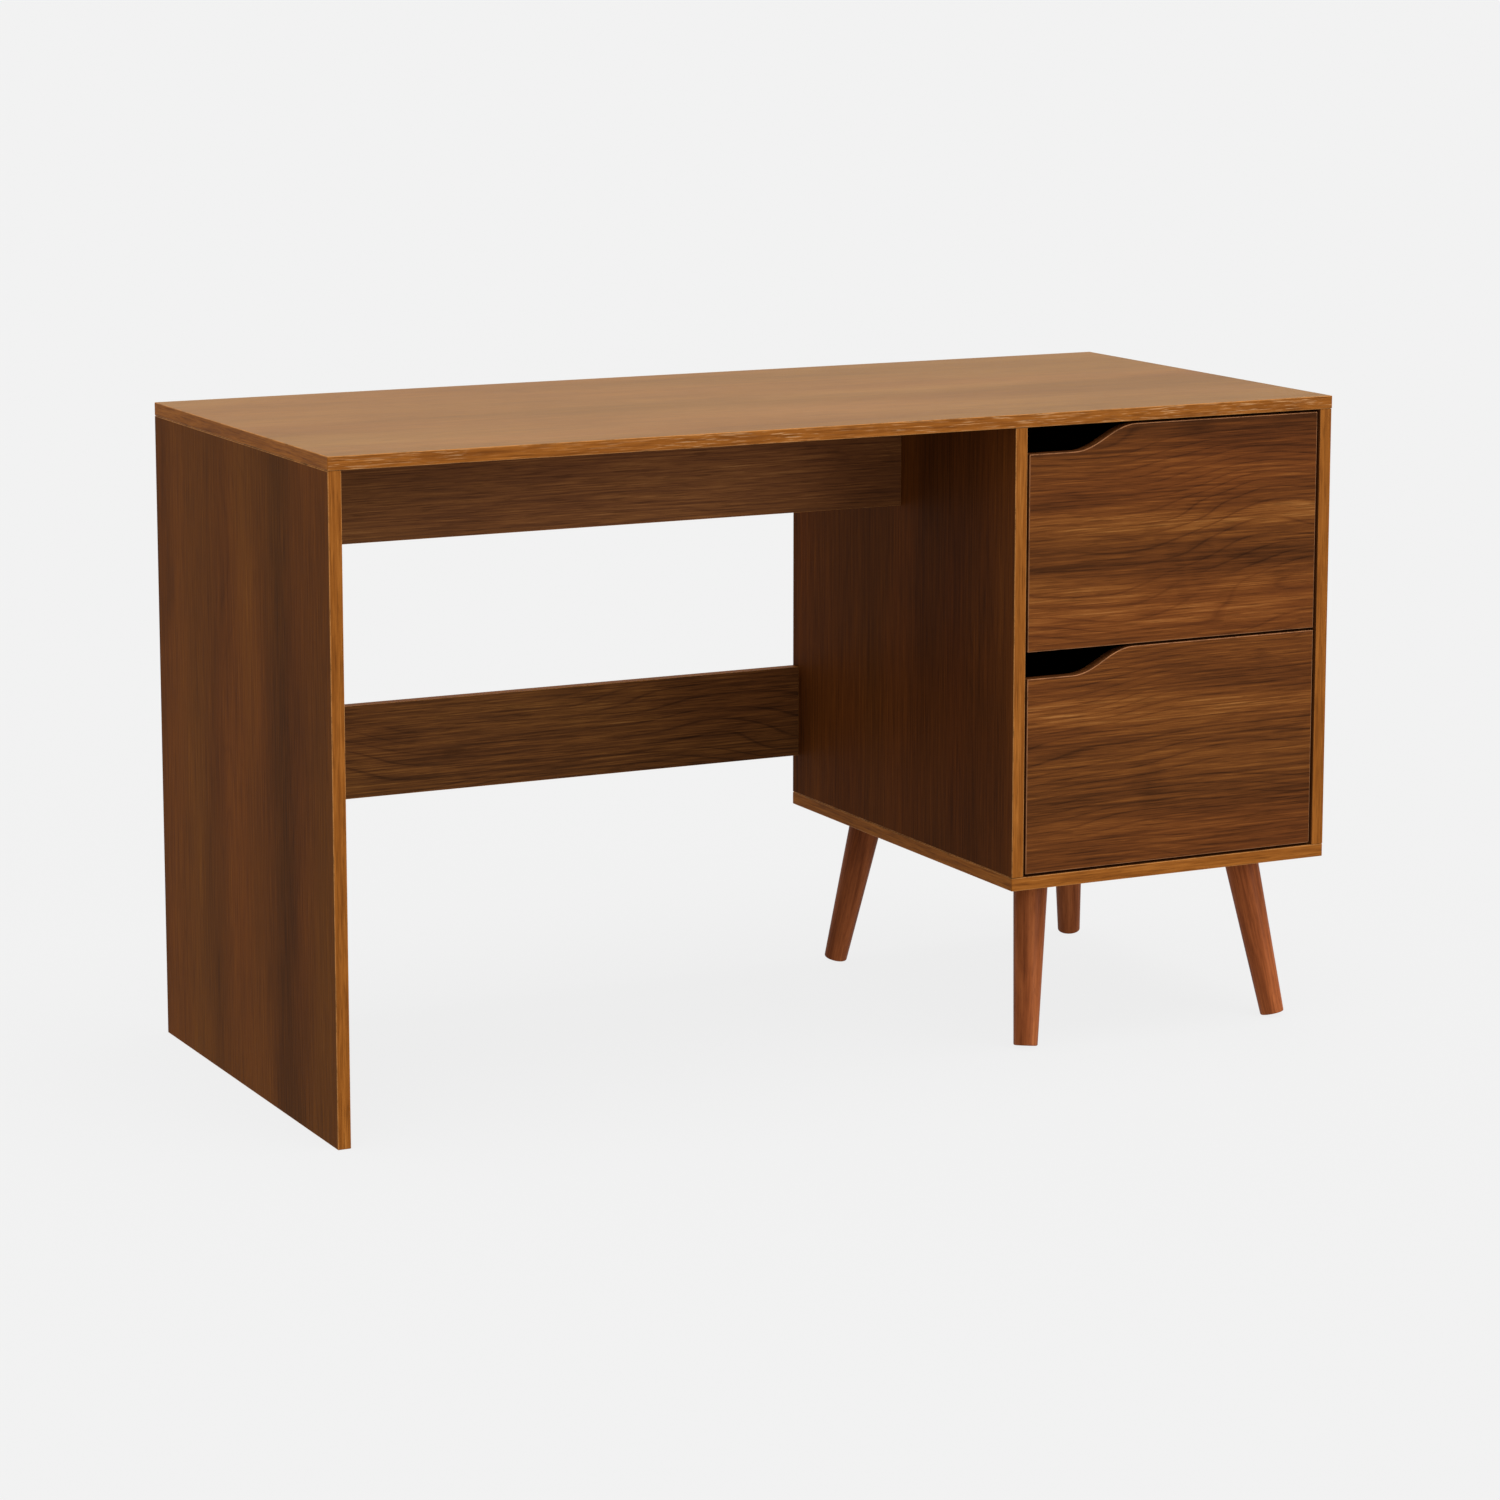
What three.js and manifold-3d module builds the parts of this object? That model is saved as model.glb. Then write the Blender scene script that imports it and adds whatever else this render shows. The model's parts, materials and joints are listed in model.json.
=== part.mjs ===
// A writing desk: a full-width top carried by a side panel on the left and, on the right, by a
// two-drawer cabinet on four splayed legs. Millimetres. +X runs to the desk's right, the front
// faces -Y and +Z is up. The origin lies on the floor, under the middle of the desktop.

import * as THREE from 'three';
import { mergeVertices } from 'three/addons/utils/BufferGeometryUtils.js';
import Module from 'manifold-3d';

const wasm = await Module();
wasm.setup();

// ---------------------------------------------------------------- driving dimensions

// Overall size, and what all the boards share.
const DESK_WIDTH = 1240;
const DESK_DEPTH = 545;
const DESK_HEIGHT = 740;
const BOARD = 15;
const JOINT_GAP = 0.3; // between two pieces that touch
const TOP_OVERHANG = 1; // of the desktop past the cabinet's right side

// Cabinet.
const CABINET_WIDTH = 420;
const CABINET_UNDERSIDE = 196;
const BACK_THICKNESS = 3;
const BACK_INSET = 20; // from the cabinet's rear edges to the back
const PANEL_GROOVE_DEPTH = 6;
const PANEL_GROOVE_CLEARANCE = 0.3;

// Boards across the kneehole.
const MODESTY_SETBACK = 267;
const MODESTY_HEIGHT = 120;
const RAIL_UNDERSIDE = 260;
const RAIL_HEIGHT = 111;
const RAIL_INSET = 1; // from the desk's rear face

// Legs: round, tapered, and splayed outwards along X and along Y.
const LEG_INSET_X = 68;
const LEG_INSET_Y = 74;
const LEG_SPLAY_X = 27;
const LEG_SPLAY_Y = 38;
const LEG_TOP_RADIUS = 20;
const LEG_FOOT_RADIUS = 14;
const LEG_FOOT_CHAMFER = 1;
const LEG_BORE_DEPTH = 32;
const BOLT_TIP_LENGTH = 5;

// Leg plates and hanger bolts.
const PLATE_WIDTH = 56;
const PLATE_THICKNESS = 2;
const PLATE_CORNER_RADIUS = 6;
const PLATE_BOSS_RADIUS = 9;
const BOLT_RADIUS = 4;
const BOLT_CLEARANCE = 0.3;

// Drawer fronts, and the finger scoop in each front's upper left corner.
const DRAWER_NAMES = ['lower', 'upper'];
const SIDE_REVEAL = 3.5;
const REVEAL = 3; // above, below and between the fronts
const FRONT_RECESS = 1;
const SCOOP_DEPTH = 28;
const SCOOP_FLAT = 58;
const SCOOP_SWEEP = 82; // width of the S-curve that rises to the front's top edge
const SCOOP_EASE = 0.4; // share of the sweep that each end of the curve leaves level

// Drawer boxes.
const DRAWER_BOARD = 12;
const DRAWER_BOTTOM_THICKNESS = 3;
const DRAWER_BOTTOM_RISE = 10; // from the box's lower edge to its bottom panel
const BOX_TOP_MARGIN = 26; // from the box's upper edge up to the level of the scoop
const BOX_REAR_CLEARANCE = 56; // behind the box, to the cabinet's back

// Roller runners.
const RUNNER_SPACE = 12.5; // between the cabinet's side and the drawer's side
const RUNNER_STEP = 50; // runners come in lengths this far apart
const RUNNER_OVERLAP = 100; // length still engaged when the drawer is fully open
const RUNNER_SETBACK = 2; // from the back of the drawer front
const RUNNER_RISE = 14; // from the drawer front's lower edge
const RUNNER_STEEL = 1.2;
const ROLLER_RADIUS = 11;
const ROLLER_END_CLEARANCE = 0.8; // between the rear roller and the stop for the closed drawer
const RUNNING_CLEARANCE = 0.3;
const CHANNEL_SLACK = 1.3; // between the rear roller and the channel's roof
const CHANNEL_EDGE_CLEARANCE = 1; // between the channel's floor and the drawer member
const CHANNEL_ROOF_SETBACK = 1; // of the roof's edge from the floor's edge
const FLANGE_CLEARANCE = 2.4; // between the channel's roof and the flange that passes over it
const AXLE_RADIUS = 3;
const AXLE_HEAD_RADIUS = 4.6;
const AXLE_HEAD_THICKNESS = 1;
const AXLE_HEAD_CLEARANCE = 1.4; // between an axle's head and the member that it faces
const SHELF_RISE = 6; // from the channel's lower face to the shelf under the drawer's side
const SHELF_REACH = 10;
const OPEN_STOP_HEIGHT = 3;
const CLOSED_STOP_HEIGHT = 8;

// Cam locks and their bolts.
const CAM_RADIUS = 7.2;
const CAM_PAST_BOLT = 2.8; // of the cam's body beyond the bolt's axis
const CAM_FROM_END = 24; // from the board's end to the cam's centre
const CAM_DRIVE_SLOT = 1.2; // width and depth of the screwdriver slot
const CAM_BOLT_RADIUS = 2.8;
const CAM_BOLT_HEAD_RADIUS = 3.4;
const CAM_BOLT_HEAD_LENGTH = 2;
const CAM_BOLT_DEPTH = 10; // into the board that it is screwed to

// Dowels.
const DOWEL_RADIUS = 4;
const DOWEL_IN_TOP = 9;
const DOWEL_IN_PANEL = 19;
const DOWEL_FROM_EDGE = 80; // from the desk's front and rear faces
const FIT_CLEARANCE = 0.3;

// Facets round a circle, and along a curve.
const LEG_FACETS = 36;
const ROLLER_FACETS = 24;
const FACETS = 16;
const SCOOP_FACETS = 20;
const CORNER_FACETS = 6;

// How far a cutter runs past the face that it opens, how far the parts of one piece run into each
// other where they join, and how close two corners are the same corner.
const CUT_PAST = 1;
const JOIN_OVERLAP = 0.5;
const WELD_TOLERANCE = 1e-3;

// ---------------------------------------------------------------- materials

const finish = (color, roughness, metalness = 0) =>
  new THREE.MeshStandardMaterial({ color, roughness, metalness });

const MATERIALS = {
  desktop: finish(0x9c6f43, 0.4),
  panel: finish(0x5c371e, 0.5),
  drawerFront: finish(0x6c4023, 0.45),
  legWood: finish(0x8c4b28, 0.45),
  drawerBoard: finish(0x4a3020, 0.6),
  hardboard: finish(0x6b4a2f, 0.75),
  dowelWood: finish(0xc9a877, 0.7),
  steel: finish(0xb9bcc0, 0.35, 0.9),
  zincAlloy: finish(0x9a9da0, 0.45, 0.85),
  nylon: finish(0xe9e6de, 0.5),
};

// ---------------------------------------------------------------- solids and booleans

// A closed manifold solid from a three.js geometry, for cutting and joining.
function solidOf(geometry) {
  const bare = geometry.index ? geometry.toNonIndexed() : geometry.clone();
  bare.deleteAttribute('normal');
  bare.deleteAttribute('uv');
  const merged = mergeVertices(bare, WELD_TOLERANCE);
  return new wasm.Manifold(new wasm.Mesh({
    numProp: 3,
    vertProperties: new Float32Array(merged.attributes.position.array),
    triVerts: new Uint32Array(merged.index.array),
  }));
}

// The flat-shaded three.js geometry of a manifold solid.
function geometryOf(solid) {
  const mesh = solid.getMesh();
  const indexed = new THREE.BufferGeometry();
  const positions = new Float32Array(mesh.vertProperties);
  indexed.setAttribute('position', new THREE.BufferAttribute(positions, 3));
  indexed.setIndex(new THREE.BufferAttribute(new Uint32Array(mesh.triVerts), 1));
  const faceted = indexed.toNonIndexed();
  faceted.computeVertexNormals();
  return faceted;
}

// The geometry with the joined geometries added to it and the cutters taken out of it.
function shaped(geometry, { joined = [], cutters = [] }) {
  let solid = solidOf(geometry);
  for (const extra of joined) {
    solid = solid.add(solidOf(extra));
  }
  for (const cutter of cutters) {
    solid = solid.subtract(solidOf(cutter));
  }
  return geometryOf(solid);
}

// A block from its low corner to its high corner.
function block(low, high) {
  const geometry = new THREE.BoxGeometry(high[0] - low[0], high[1] - low[1], high[2] - low[2]);
  return geometry.translate((low[0] + high[0]) / 2, (low[1] + high[1]) / 2, (low[2] + high[2]) / 2);
}

// The same block, larger by a clearance on every face.
const looseBlock = (low, high, clearance) =>
  block(low.map((value) => value - clearance), high.map((value) => value + clearance));

// A round bar along X, Y or Z, from one coordinate to another on that axis.
function bar(axis, from, to, centre, radius) {
  const geometry = new THREE.CylinderGeometry(radius, radius, to - from, FACETS);
  if (axis === 'x') {
    geometry.rotateZ(-Math.PI / 2);
    return geometry.translate((from + to) / 2, centre[0], centre[1]);
  }
  if (axis === 'y') {
    return geometry.translate(centre[0], (from + to) / 2, centre[1]);
  }
  geometry.rotateX(Math.PI / 2);
  return geometry.translate(centre[0], centre[1], (from + to) / 2);
}

// An outline given in X and Z, extruded along Y from one coordinate to another.
function extrudedAlongY(shape, from, to) {
  const geometry = new THREE.ExtrudeGeometry(shape, {
    depth: to - from,
    bevelEnabled: false,
    curveSegments: SCOOP_FACETS,
  });
  geometry.rotateX(Math.PI / 2);
  return geometry.translate(0, to, 0);
}

// A closed outline through points.
const outline = (points) => new THREE.Shape(points.map(([x, z]) => new THREE.Vector2(x, z)));

// A lathe solid about +Y, from profile points of radius and height that start and end on the axis.
const turned = (profile, facets) =>
  new THREE.LatheGeometry(profile.map(([radius, y]) => new THREE.Vector2(radius, y)), facets);

// A ring about the X axis, centred on its own origin.
function ring(radius, bore, width, facets) {
  const half = width / 2;
  const profile = [[bore, -half], [radius, -half], [radius, half], [bore, half], [bore, -half]];
  return turned(profile, facets).rotateZ(-Math.PI / 2);
}

// A named mesh whose geometry is kept about its own origin, which lies at the given place.
function piece(name, geometry, material, origin = [0, 0, 0]) {
  const mesh = new THREE.Mesh(geometry.translate(-origin[0], -origin[1], -origin[2]), material.clone());
  mesh.name = name;
  mesh.position.set(...origin);
  return mesh;
}

// A named board, with its origin at its middle.
function board(name, low, high, material, cutters = []) {
  const middle = low.map((value, i) => (value + high[i]) / 2);
  const geometry = cutters.length ? shaped(block(low, high), { cutters }) : block(low, high);
  return piece(name, geometry, material, middle);
}

// ---------------------------------------------------------------- layout

const LEFT = -DESK_WIDTH / 2;
const RIGHT = DESK_WIDTH / 2;
const FRONT = -DESK_DEPTH / 2;
const REAR = DESK_DEPTH / 2;

const TOP_UNDERSIDE = DESK_HEIGHT - BOARD;
const PANEL_TOP = TOP_UNDERSIDE - JOINT_GAP;

const CABINET_RIGHT = RIGHT - TOP_OVERHANG;
const CABINET_LEFT = CABINET_RIGHT - CABINET_WIDTH;
const INNER_LEFT = CABINET_LEFT + BOARD;
const INNER_RIGHT = CABINET_RIGHT - BOARD;
const INNER_FLOOR = CABINET_UNDERSIDE + BOARD;
const BACK_FACE = REAR - BACK_INSET - BACK_THICKNESS;

const KNEE_LEFT = LEFT + BOARD + JOINT_GAP;
const KNEE_RIGHT = CABINET_LEFT - JOINT_GAP;
const MODESTY_FRONT = FRONT + MODESTY_SETBACK;
const MODESTY_UNDERSIDE = TOP_UNDERSIDE - MODESTY_HEIGHT;
const RAIL_REAR = REAR - RAIL_INSET;

const FRONT_WIDTH = INNER_RIGHT - INNER_LEFT - 2 * SIDE_REVEAL;
const FRONT_COUNT = DRAWER_NAMES.length;
const FRONT_HEIGHT = (TOP_UNDERSIDE - INNER_FLOOR - (FRONT_COUNT + 1) * REVEAL) / FRONT_COUNT;
const FRONT_FACE = FRONT + FRONT_RECESS;
const FRONT_BACK = FRONT_FACE + BOARD;

const BOX_LENGTH = BACK_FACE - BOX_REAR_CLEARANCE - FRONT_BACK;
const BOX_FRONT = FRONT_BACK + JOINT_GAP;
const BOX_REAR = FRONT_BACK + BOX_LENGTH;
const RUNNER_LENGTH = RUNNER_STEP * Math.floor((BOX_LENGTH - RUNNER_SETBACK) / RUNNER_STEP);
const RUNNER_FRONT = FRONT_BACK + RUNNER_SETBACK;
const RUNNER_REAR = RUNNER_FRONT + RUNNER_LENGTH;
const ROLLER_FROM_END = ROLLER_RADIUS + ROLLER_END_CLEARANCE + RUNNER_STEEL;
const FRONT_AXLE_Y = RUNNER_FRONT + ROLLER_FROM_END;
const REAR_AXLE_Y = RUNNER_REAR - ROLLER_FROM_END;
const DRAWER_TRAVEL = RUNNER_LENGTH - RUNNER_OVERLAP;

// Heights inside a runner, from the channel's lower face.
const REAR_AXLE_RISE = RUNNER_STEEL + RUNNING_CLEARANCE + ROLLER_RADIUS;
const CHANNEL_HEIGHT = REAR_AXLE_RISE + ROLLER_RADIUS + CHANNEL_SLACK + RUNNER_STEEL;
const FLANGE_RISE = CHANNEL_HEIGHT + FLANGE_CLEARANCE;
const FRONT_AXLE_RISE = FLANGE_RISE - RUNNING_CLEARANCE - ROLLER_RADIUS;
const SHELF_TOP = SHELF_RISE + RUNNER_STEEL;

// Heights inside a drawer, from its front's lower edge.
const BOX_UNDERSIDE = RUNNER_RISE + SHELF_TOP + JOINT_GAP;
const BOX_TOP = FRONT_HEIGHT - SCOOP_DEPTH - BOX_TOP_MARGIN;
const BOTTOM_UNDERSIDE = BOX_UNDERSIDE + DRAWER_BOTTOM_RISE;
const BOTTOM_TOP = BOTTOM_UNDERSIDE + DRAWER_BOTTOM_THICKNESS;

// Distances inside a runner, from the cabinet side's face towards the drawer.
const CHANNEL_WEB = [JOINT_GAP, JOINT_GAP + RUNNER_STEEL];
const DRAWER_WEB = [RUNNER_SPACE - JOINT_GAP - RUNNER_STEEL, RUNNER_SPACE - JOINT_GAP];
const CHANNEL_FLOOR_EDGE = DRAWER_WEB[0] - CHANNEL_EDGE_CLEARANCE;
const CHANNEL_ROOF_EDGE = CHANNEL_FLOOR_EDGE - CHANNEL_ROOF_SETBACK;
const FLANGE_EDGE = CHANNEL_WEB[1] + CHANNEL_EDGE_CLEARANCE;
const AXLE_ROOM = DRAWER_WEB[0] - CHANNEL_WEB[1] - AXLE_HEAD_CLEARANCE;
const ROLLER_WIDTH = AXLE_ROOM - AXLE_HEAD_THICKNESS - 2 * RUNNING_CLEARANCE;

const desk = new THREE.Group();

// ---------------------------------------------------------------- dowels and cam locks

// Each dowel stands across the joint between the desktop and the board under it.
const dowelRows = [
  ['left_panel', LEFT + BOARD / 2],
  ['cabinet_left', CABINET_LEFT + BOARD / 2],
  ['cabinet_right', CABINET_RIGHT - BOARD / 2],
];
const dowelPlaces = dowelRows.flatMap(([row, x]) => [
  { name: `dowel_${row}_front`, row, x, y: FRONT + DOWEL_FROM_EDGE },
  { name: `dowel_${row}_rear`, row, x, y: REAR - DOWEL_FROM_EDGE },
]);
const DOWEL_LOW = PANEL_TOP - DOWEL_IN_PANEL;
const DOWEL_HIGH = TOP_UNDERSIDE + DOWEL_IN_TOP;

const dowelHole = ({ x, y }) =>
  bar('z', DOWEL_LOW - FIT_CLEARANCE, DOWEL_HIGH + FIT_CLEARANCE, [x, y], DOWEL_RADIUS + FIT_CLEARANCE);

const dowelHolesOf = (row) => dowelPlaces.filter((place) => place.row === row).map(dowelHole);

for (const place of dowelPlaces) {
  const geometry = bar('z', DOWEL_LOW, DOWEL_HIGH, [place.x, place.y], DOWEL_RADIUS);
  const origin = [place.x, place.y, DOWEL_LOW];
  desk.add(piece(place.name, geometry, MATERIALS.dowelWood, origin));
}

// Each board across the kneehole has a cam lock in its rear face near each end. The cam grips the
// head of a bolt that stands in the side panel or in the cabinet's side.
const camBoards = [
  { board: 'modesty', rear: MODESTY_FRONT + BOARD, z: MODESTY_UNDERSIDE + MODESTY_HEIGHT / 2 },
  { board: 'rail', rear: RAIL_REAR, z: RAIL_UNDERSIDE + RAIL_HEIGHT / 2 },
];
const camPlaces = camBoards.flatMap((row) => [
  { ...row, side: 'left', face: LEFT + BOARD, inward: 1 },
  { ...row, side: 'right', face: CABINET_LEFT, inward: -1 },
]);

// Points along a cam's bolt: its far end in the panel, then its head's two faces. The head ends at
// the cam's centre.
function camBoltStations({ face, inward }) {
  const at = (distance) => face + inward * distance;
  return {
    tip: at(-CAM_BOLT_DEPTH),
    neck: at(CAM_FROM_END - CAM_BOLT_HEAD_LENGTH),
    head: at(CAM_FROM_END),
  };
}

// A round bar along X between two coordinates in either order.
const barX = (a, b, centre, radius) => bar('x', Math.min(a, b), Math.max(a, b), centre, radius);

const camAxisY = (place) => place.rear - BOARD / 2;
const camFrontY = (place) => camAxisY(place) - CAM_PAST_BOLT;

// The hole that a cam's bolt leaves in the panel, or in the board across the kneehole.
function camBoltHole(place, boltRadius) {
  const { tip, head } = camBoltStations(place);
  const pastTip = tip - place.inward * FIT_CLEARANCE;
  const pastHead = head + place.inward * FIT_CLEARANCE;
  return barX(pastTip, pastHead, [camAxisY(place), place.z], boltRadius + FIT_CLEARANCE);
}

function camPocket(place) {
  const { head } = camBoltStations(place);
  const deep = camFrontY(place) - FIT_CLEARANCE;
  return bar('y', deep, place.rear + CUT_PAST, [head, place.z], CAM_RADIUS + FIT_CLEARANCE);
}

const camPlacesOf = (name) => camPlaces.filter((place) => place.board === name);
const camCutsOf = (name) =>
  camPlacesOf(name).flatMap((place) => [camBoltHole(place, CAM_BOLT_HEAD_RADIUS), camPocket(place)]);
const camScrewHolesOn = (side) =>
  camPlaces.filter((place) => place.side === side).map((place) => camBoltHole(place, CAM_BOLT_RADIUS));

function addCamBolt(place) {
  const { tip, neck, head } = camBoltStations(place);
  const middle = [camAxisY(place), place.z];
  const shankEnd = neck + place.inward * JOIN_OVERLAP;
  const bolt = shaped(barX(tip, shankEnd, middle, CAM_BOLT_RADIUS), {
    joined: [barX(neck, head, middle, CAM_BOLT_HEAD_RADIUS)],
  });
  const name = `cam_bolt_${place.board}_${place.side}`;
  desk.add(piece(name, bolt, MATERIALS.steel, [place.face, ...middle]));
}

// The cam is a disc with a mouth for the bolt's head, and a screwdriver slot in its rear face.
function addCam(place) {
  const { head } = camBoltStations(place);
  const rear = place.rear - FIT_CLEARANCE;
  const front = camFrontY(place);
  const mouthHalf = CAM_BOLT_HEAD_RADIUS + FIT_CLEARANCE;
  const driveHalf = CAM_DRIVE_SLOT / 2;
  const mouthXs = [
    head - place.inward * (CAM_RADIUS + CUT_PAST),
    head + place.inward * FIT_CLEARANCE,
  ].sort((a, b) => a - b);
  const mouth = block(
    [mouthXs[0], front - CUT_PAST, place.z - mouthHalf],
    [mouthXs[1], camAxisY(place) + mouthHalf, place.z + mouthHalf],
  );
  const driveSlot = block(
    [head - CAM_RADIUS / 2, rear - CAM_DRIVE_SLOT, place.z - driveHalf],
    [head + CAM_RADIUS / 2, rear + CUT_PAST, place.z + driveHalf],
  );
  const disc = bar('y', front, rear, [head, place.z], CAM_RADIUS);
  const cam = shaped(disc, { cutters: [mouth, driveSlot] });
  const name = `cam_${place.board}_${place.side}`;
  desk.add(piece(name, cam, MATERIALS.zincAlloy, [head, rear, place.z]));
}

camPlaces.forEach(addCamBolt);
camPlaces.forEach(addCam);

// ---------------------------------------------------------------- boards

const backLow = [
  INNER_LEFT - PANEL_GROOVE_DEPTH + PANEL_GROOVE_CLEARANCE,
  BACK_FACE,
  INNER_FLOOR - PANEL_GROOVE_DEPTH + PANEL_GROOVE_CLEARANCE,
];
const backHigh = [
  INNER_RIGHT + PANEL_GROOVE_DEPTH - PANEL_GROOVE_CLEARANCE,
  BACK_FACE + BACK_THICKNESS,
  PANEL_TOP,
];
const backGroove = looseBlock(backLow, [backHigh[0], backHigh[1], DESK_HEIGHT], PANEL_GROOVE_CLEARANCE);

desk.add(board(
  'desktop',
  [LEFT, FRONT, TOP_UNDERSIDE],
  [RIGHT, REAR, DESK_HEIGHT],
  MATERIALS.desktop,
  dowelPlaces.map(dowelHole),
));
desk.add(board(
  'left_side_panel',
  [LEFT, FRONT, 0],
  [LEFT + BOARD, REAR, PANEL_TOP],
  MATERIALS.panel,
  [...dowelHolesOf('left_panel'), ...camScrewHolesOn('left')],
));
desk.add(board(
  'cabinet_left_side',
  [CABINET_LEFT, FRONT, INNER_FLOOR + JOINT_GAP],
  [INNER_LEFT, REAR, PANEL_TOP],
  MATERIALS.panel,
  [...dowelHolesOf('cabinet_left'), ...camScrewHolesOn('right'), backGroove],
));
desk.add(board(
  'cabinet_right_side',
  [INNER_RIGHT, FRONT, INNER_FLOOR + JOINT_GAP],
  [CABINET_RIGHT, REAR, PANEL_TOP],
  MATERIALS.panel,
  [...dowelHolesOf('cabinet_right'), backGroove],
));
desk.add(board(
  'cabinet_bottom',
  [CABINET_LEFT, FRONT, CABINET_UNDERSIDE],
  [CABINET_RIGHT, REAR, INNER_FLOOR],
  MATERIALS.panel,
  [backGroove],
));
desk.add(board('cabinet_back', backLow, backHigh, MATERIALS.hardboard));
desk.add(board(
  'modesty_panel',
  [KNEE_LEFT, MODESTY_FRONT, MODESTY_UNDERSIDE],
  [KNEE_RIGHT, MODESTY_FRONT + BOARD, PANEL_TOP],
  MATERIALS.panel,
  camCutsOf('modesty'),
));
desk.add(board(
  'rear_rail',
  [KNEE_LEFT, RAIL_REAR - BOARD, RAIL_UNDERSIDE],
  [KNEE_RIGHT, RAIL_REAR, RAIL_UNDERSIDE + RAIL_HEIGHT],
  MATERIALS.panel,
  camCutsOf('rail'),
));

// ---------------------------------------------------------------- legs

// One leg with its plate and hanger bolt. The leg's axis starts at the cabinet's underside and leans
// outwards to the floor. The foot is cut square to that axis, and its lowest point is on the floor.
function addLeg(name, outwardX, outwardY) {
  const edgeX = outwardX > 0 ? CABINET_RIGHT : CABINET_LEFT;
  const edgeY = outwardY > 0 ? REAR : FRONT;
  const start = new THREE.Vector3(
    edgeX - outwardX * LEG_INSET_X,
    edgeY - outwardY * LEG_INSET_Y,
    CABINET_UNDERSIDE,
  );
  const lean = new THREE.Vector3(outwardX * LEG_SPLAY_X, outwardY * LEG_SPLAY_Y, -CABINET_UNDERSIDE);
  const axisLength = lean.length();
  const direction = lean.clone().normalize();
  const cosTilt = -direction.z;
  const sinTilt = Math.sqrt(1 - cosTilt * cosTilt);
  const turn = new THREE.Quaternion().setFromUnitVectors(new THREE.Vector3(0, 1, 0), direction);

  const plateDepth = JOINT_GAP + PLATE_THICKNESS;
  const legTop = (plateDepth + JOINT_GAP + LEG_TOP_RADIUS * sinTilt) / cosTilt;
  const footRadius = LEG_FOOT_RADIUS - LEG_FOOT_CHAMFER;
  const footEnd = axisLength - footRadius * sinTilt / cosTilt;
  const boreRadius = BOLT_RADIUS + BOLT_CLEARANCE;

  const tilted = new THREE.Group();
  tilted.position.copy(start);
  tilted.quaternion.copy(turn);

  const leg = turned([
    [0, legTop + LEG_BORE_DEPTH],
    [boreRadius, legTop + LEG_BORE_DEPTH],
    [boreRadius, legTop],
    [LEG_TOP_RADIUS, legTop],
    [LEG_FOOT_RADIUS, footEnd - LEG_FOOT_CHAMFER],
    [footRadius, footEnd],
    [0, footEnd],
  ], LEG_FACETS);
  tilted.add(piece(`leg_${name}`, leg, MATERIALS.legWood));

  const boltTop = (2 * JOINT_GAP + BOLT_RADIUS * sinTilt) / cosTilt;
  const boltEnd = legTop + LEG_BORE_DEPTH - BOLT_CLEARANCE;
  const bolt = turned([
    [0, boltTop],
    [BOLT_RADIUS, boltTop],
    [BOLT_RADIUS, boltEnd - BOLT_TIP_LENGTH],
    [0, boltEnd],
  ], FACETS);
  tilted.add(piece(`hanger_bolt_${name}`, bolt, MATERIALS.steel));
  desk.add(tilted);

  desk.add(legPlate(name, start, turn, legTop - JOINT_GAP, boreRadius));
}

// A flat steel plate with rounded corners, and a slanting boss that takes the hanger bolt.
function legPlate(name, start, turn, bossEnd, boreRadius) {
  const half = PLATE_WIDTH / 2;
  const corner = PLATE_CORNER_RADIUS;
  const shape = new THREE.Shape();
  shape.absarc(half - corner, -half + corner, corner, -Math.PI / 2, 0);
  shape.absarc(half - corner, half - corner, corner, 0, Math.PI / 2);
  shape.absarc(-half + corner, half - corner, corner, Math.PI / 2, Math.PI);
  shape.absarc(-half + corner, -half + corner, corner, Math.PI, 1.5 * Math.PI);
  const flat = new THREE.ExtrudeGeometry(shape, {
    depth: PLATE_THICKNESS,
    bevelEnabled: false,
    curveSegments: CORNER_FACETS,
  });
  flat.translate(0, 0, -JOINT_GAP - PLATE_THICKNESS);

  const slanted = (from, to, radius) => {
    const geometry = new THREE.CylinderGeometry(radius, radius, to - from, FACETS);
    return geometry.translate(0, (from + to) / 2, 0).applyQuaternion(turn);
  };
  const boss = slanted(0, bossEnd, PLATE_BOSS_RADIUS);
  const bore = slanted(-PLATE_WIDTH, PLATE_WIDTH, boreRadius);
  const abovePlate = block([-half, -half, -JOINT_GAP], [half, half, half]);
  const geometry = shaped(flat, { joined: [boss], cutters: [abovePlate, bore] });
  const plate = piece(`leg_plate_${name}`, geometry, MATERIALS.steel);
  plate.position.copy(start);
  return plate;
}

addLeg('front_left', -1, -1);
addLeg('front_right', 1, -1);
addLeg('rear_left', -1, 1);
addLeg('rear_right', 1, 1);

// ---------------------------------------------------------------- drawer runners

// What a runner's pieces share on one side of the cabinet. across() turns a distance from the
// cabinet side's face into an X coordinate.
const RUNNER_SIDES = [
  { side: 'left', across: (distance) => INNER_LEFT + distance },
  { side: 'right', across: (distance) => INNER_RIGHT - distance },
];

// A block of a runner: its distances from the cabinet side, its Y range and its Z range.
function runnerBlock(across, distances, ys, zs) {
  const xs = distances.map(across).sort((a, b) => a - b);
  return block([xs[0], ys[0], zs[0]], [xs[1], ys[1], zs[1]]);
}

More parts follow.
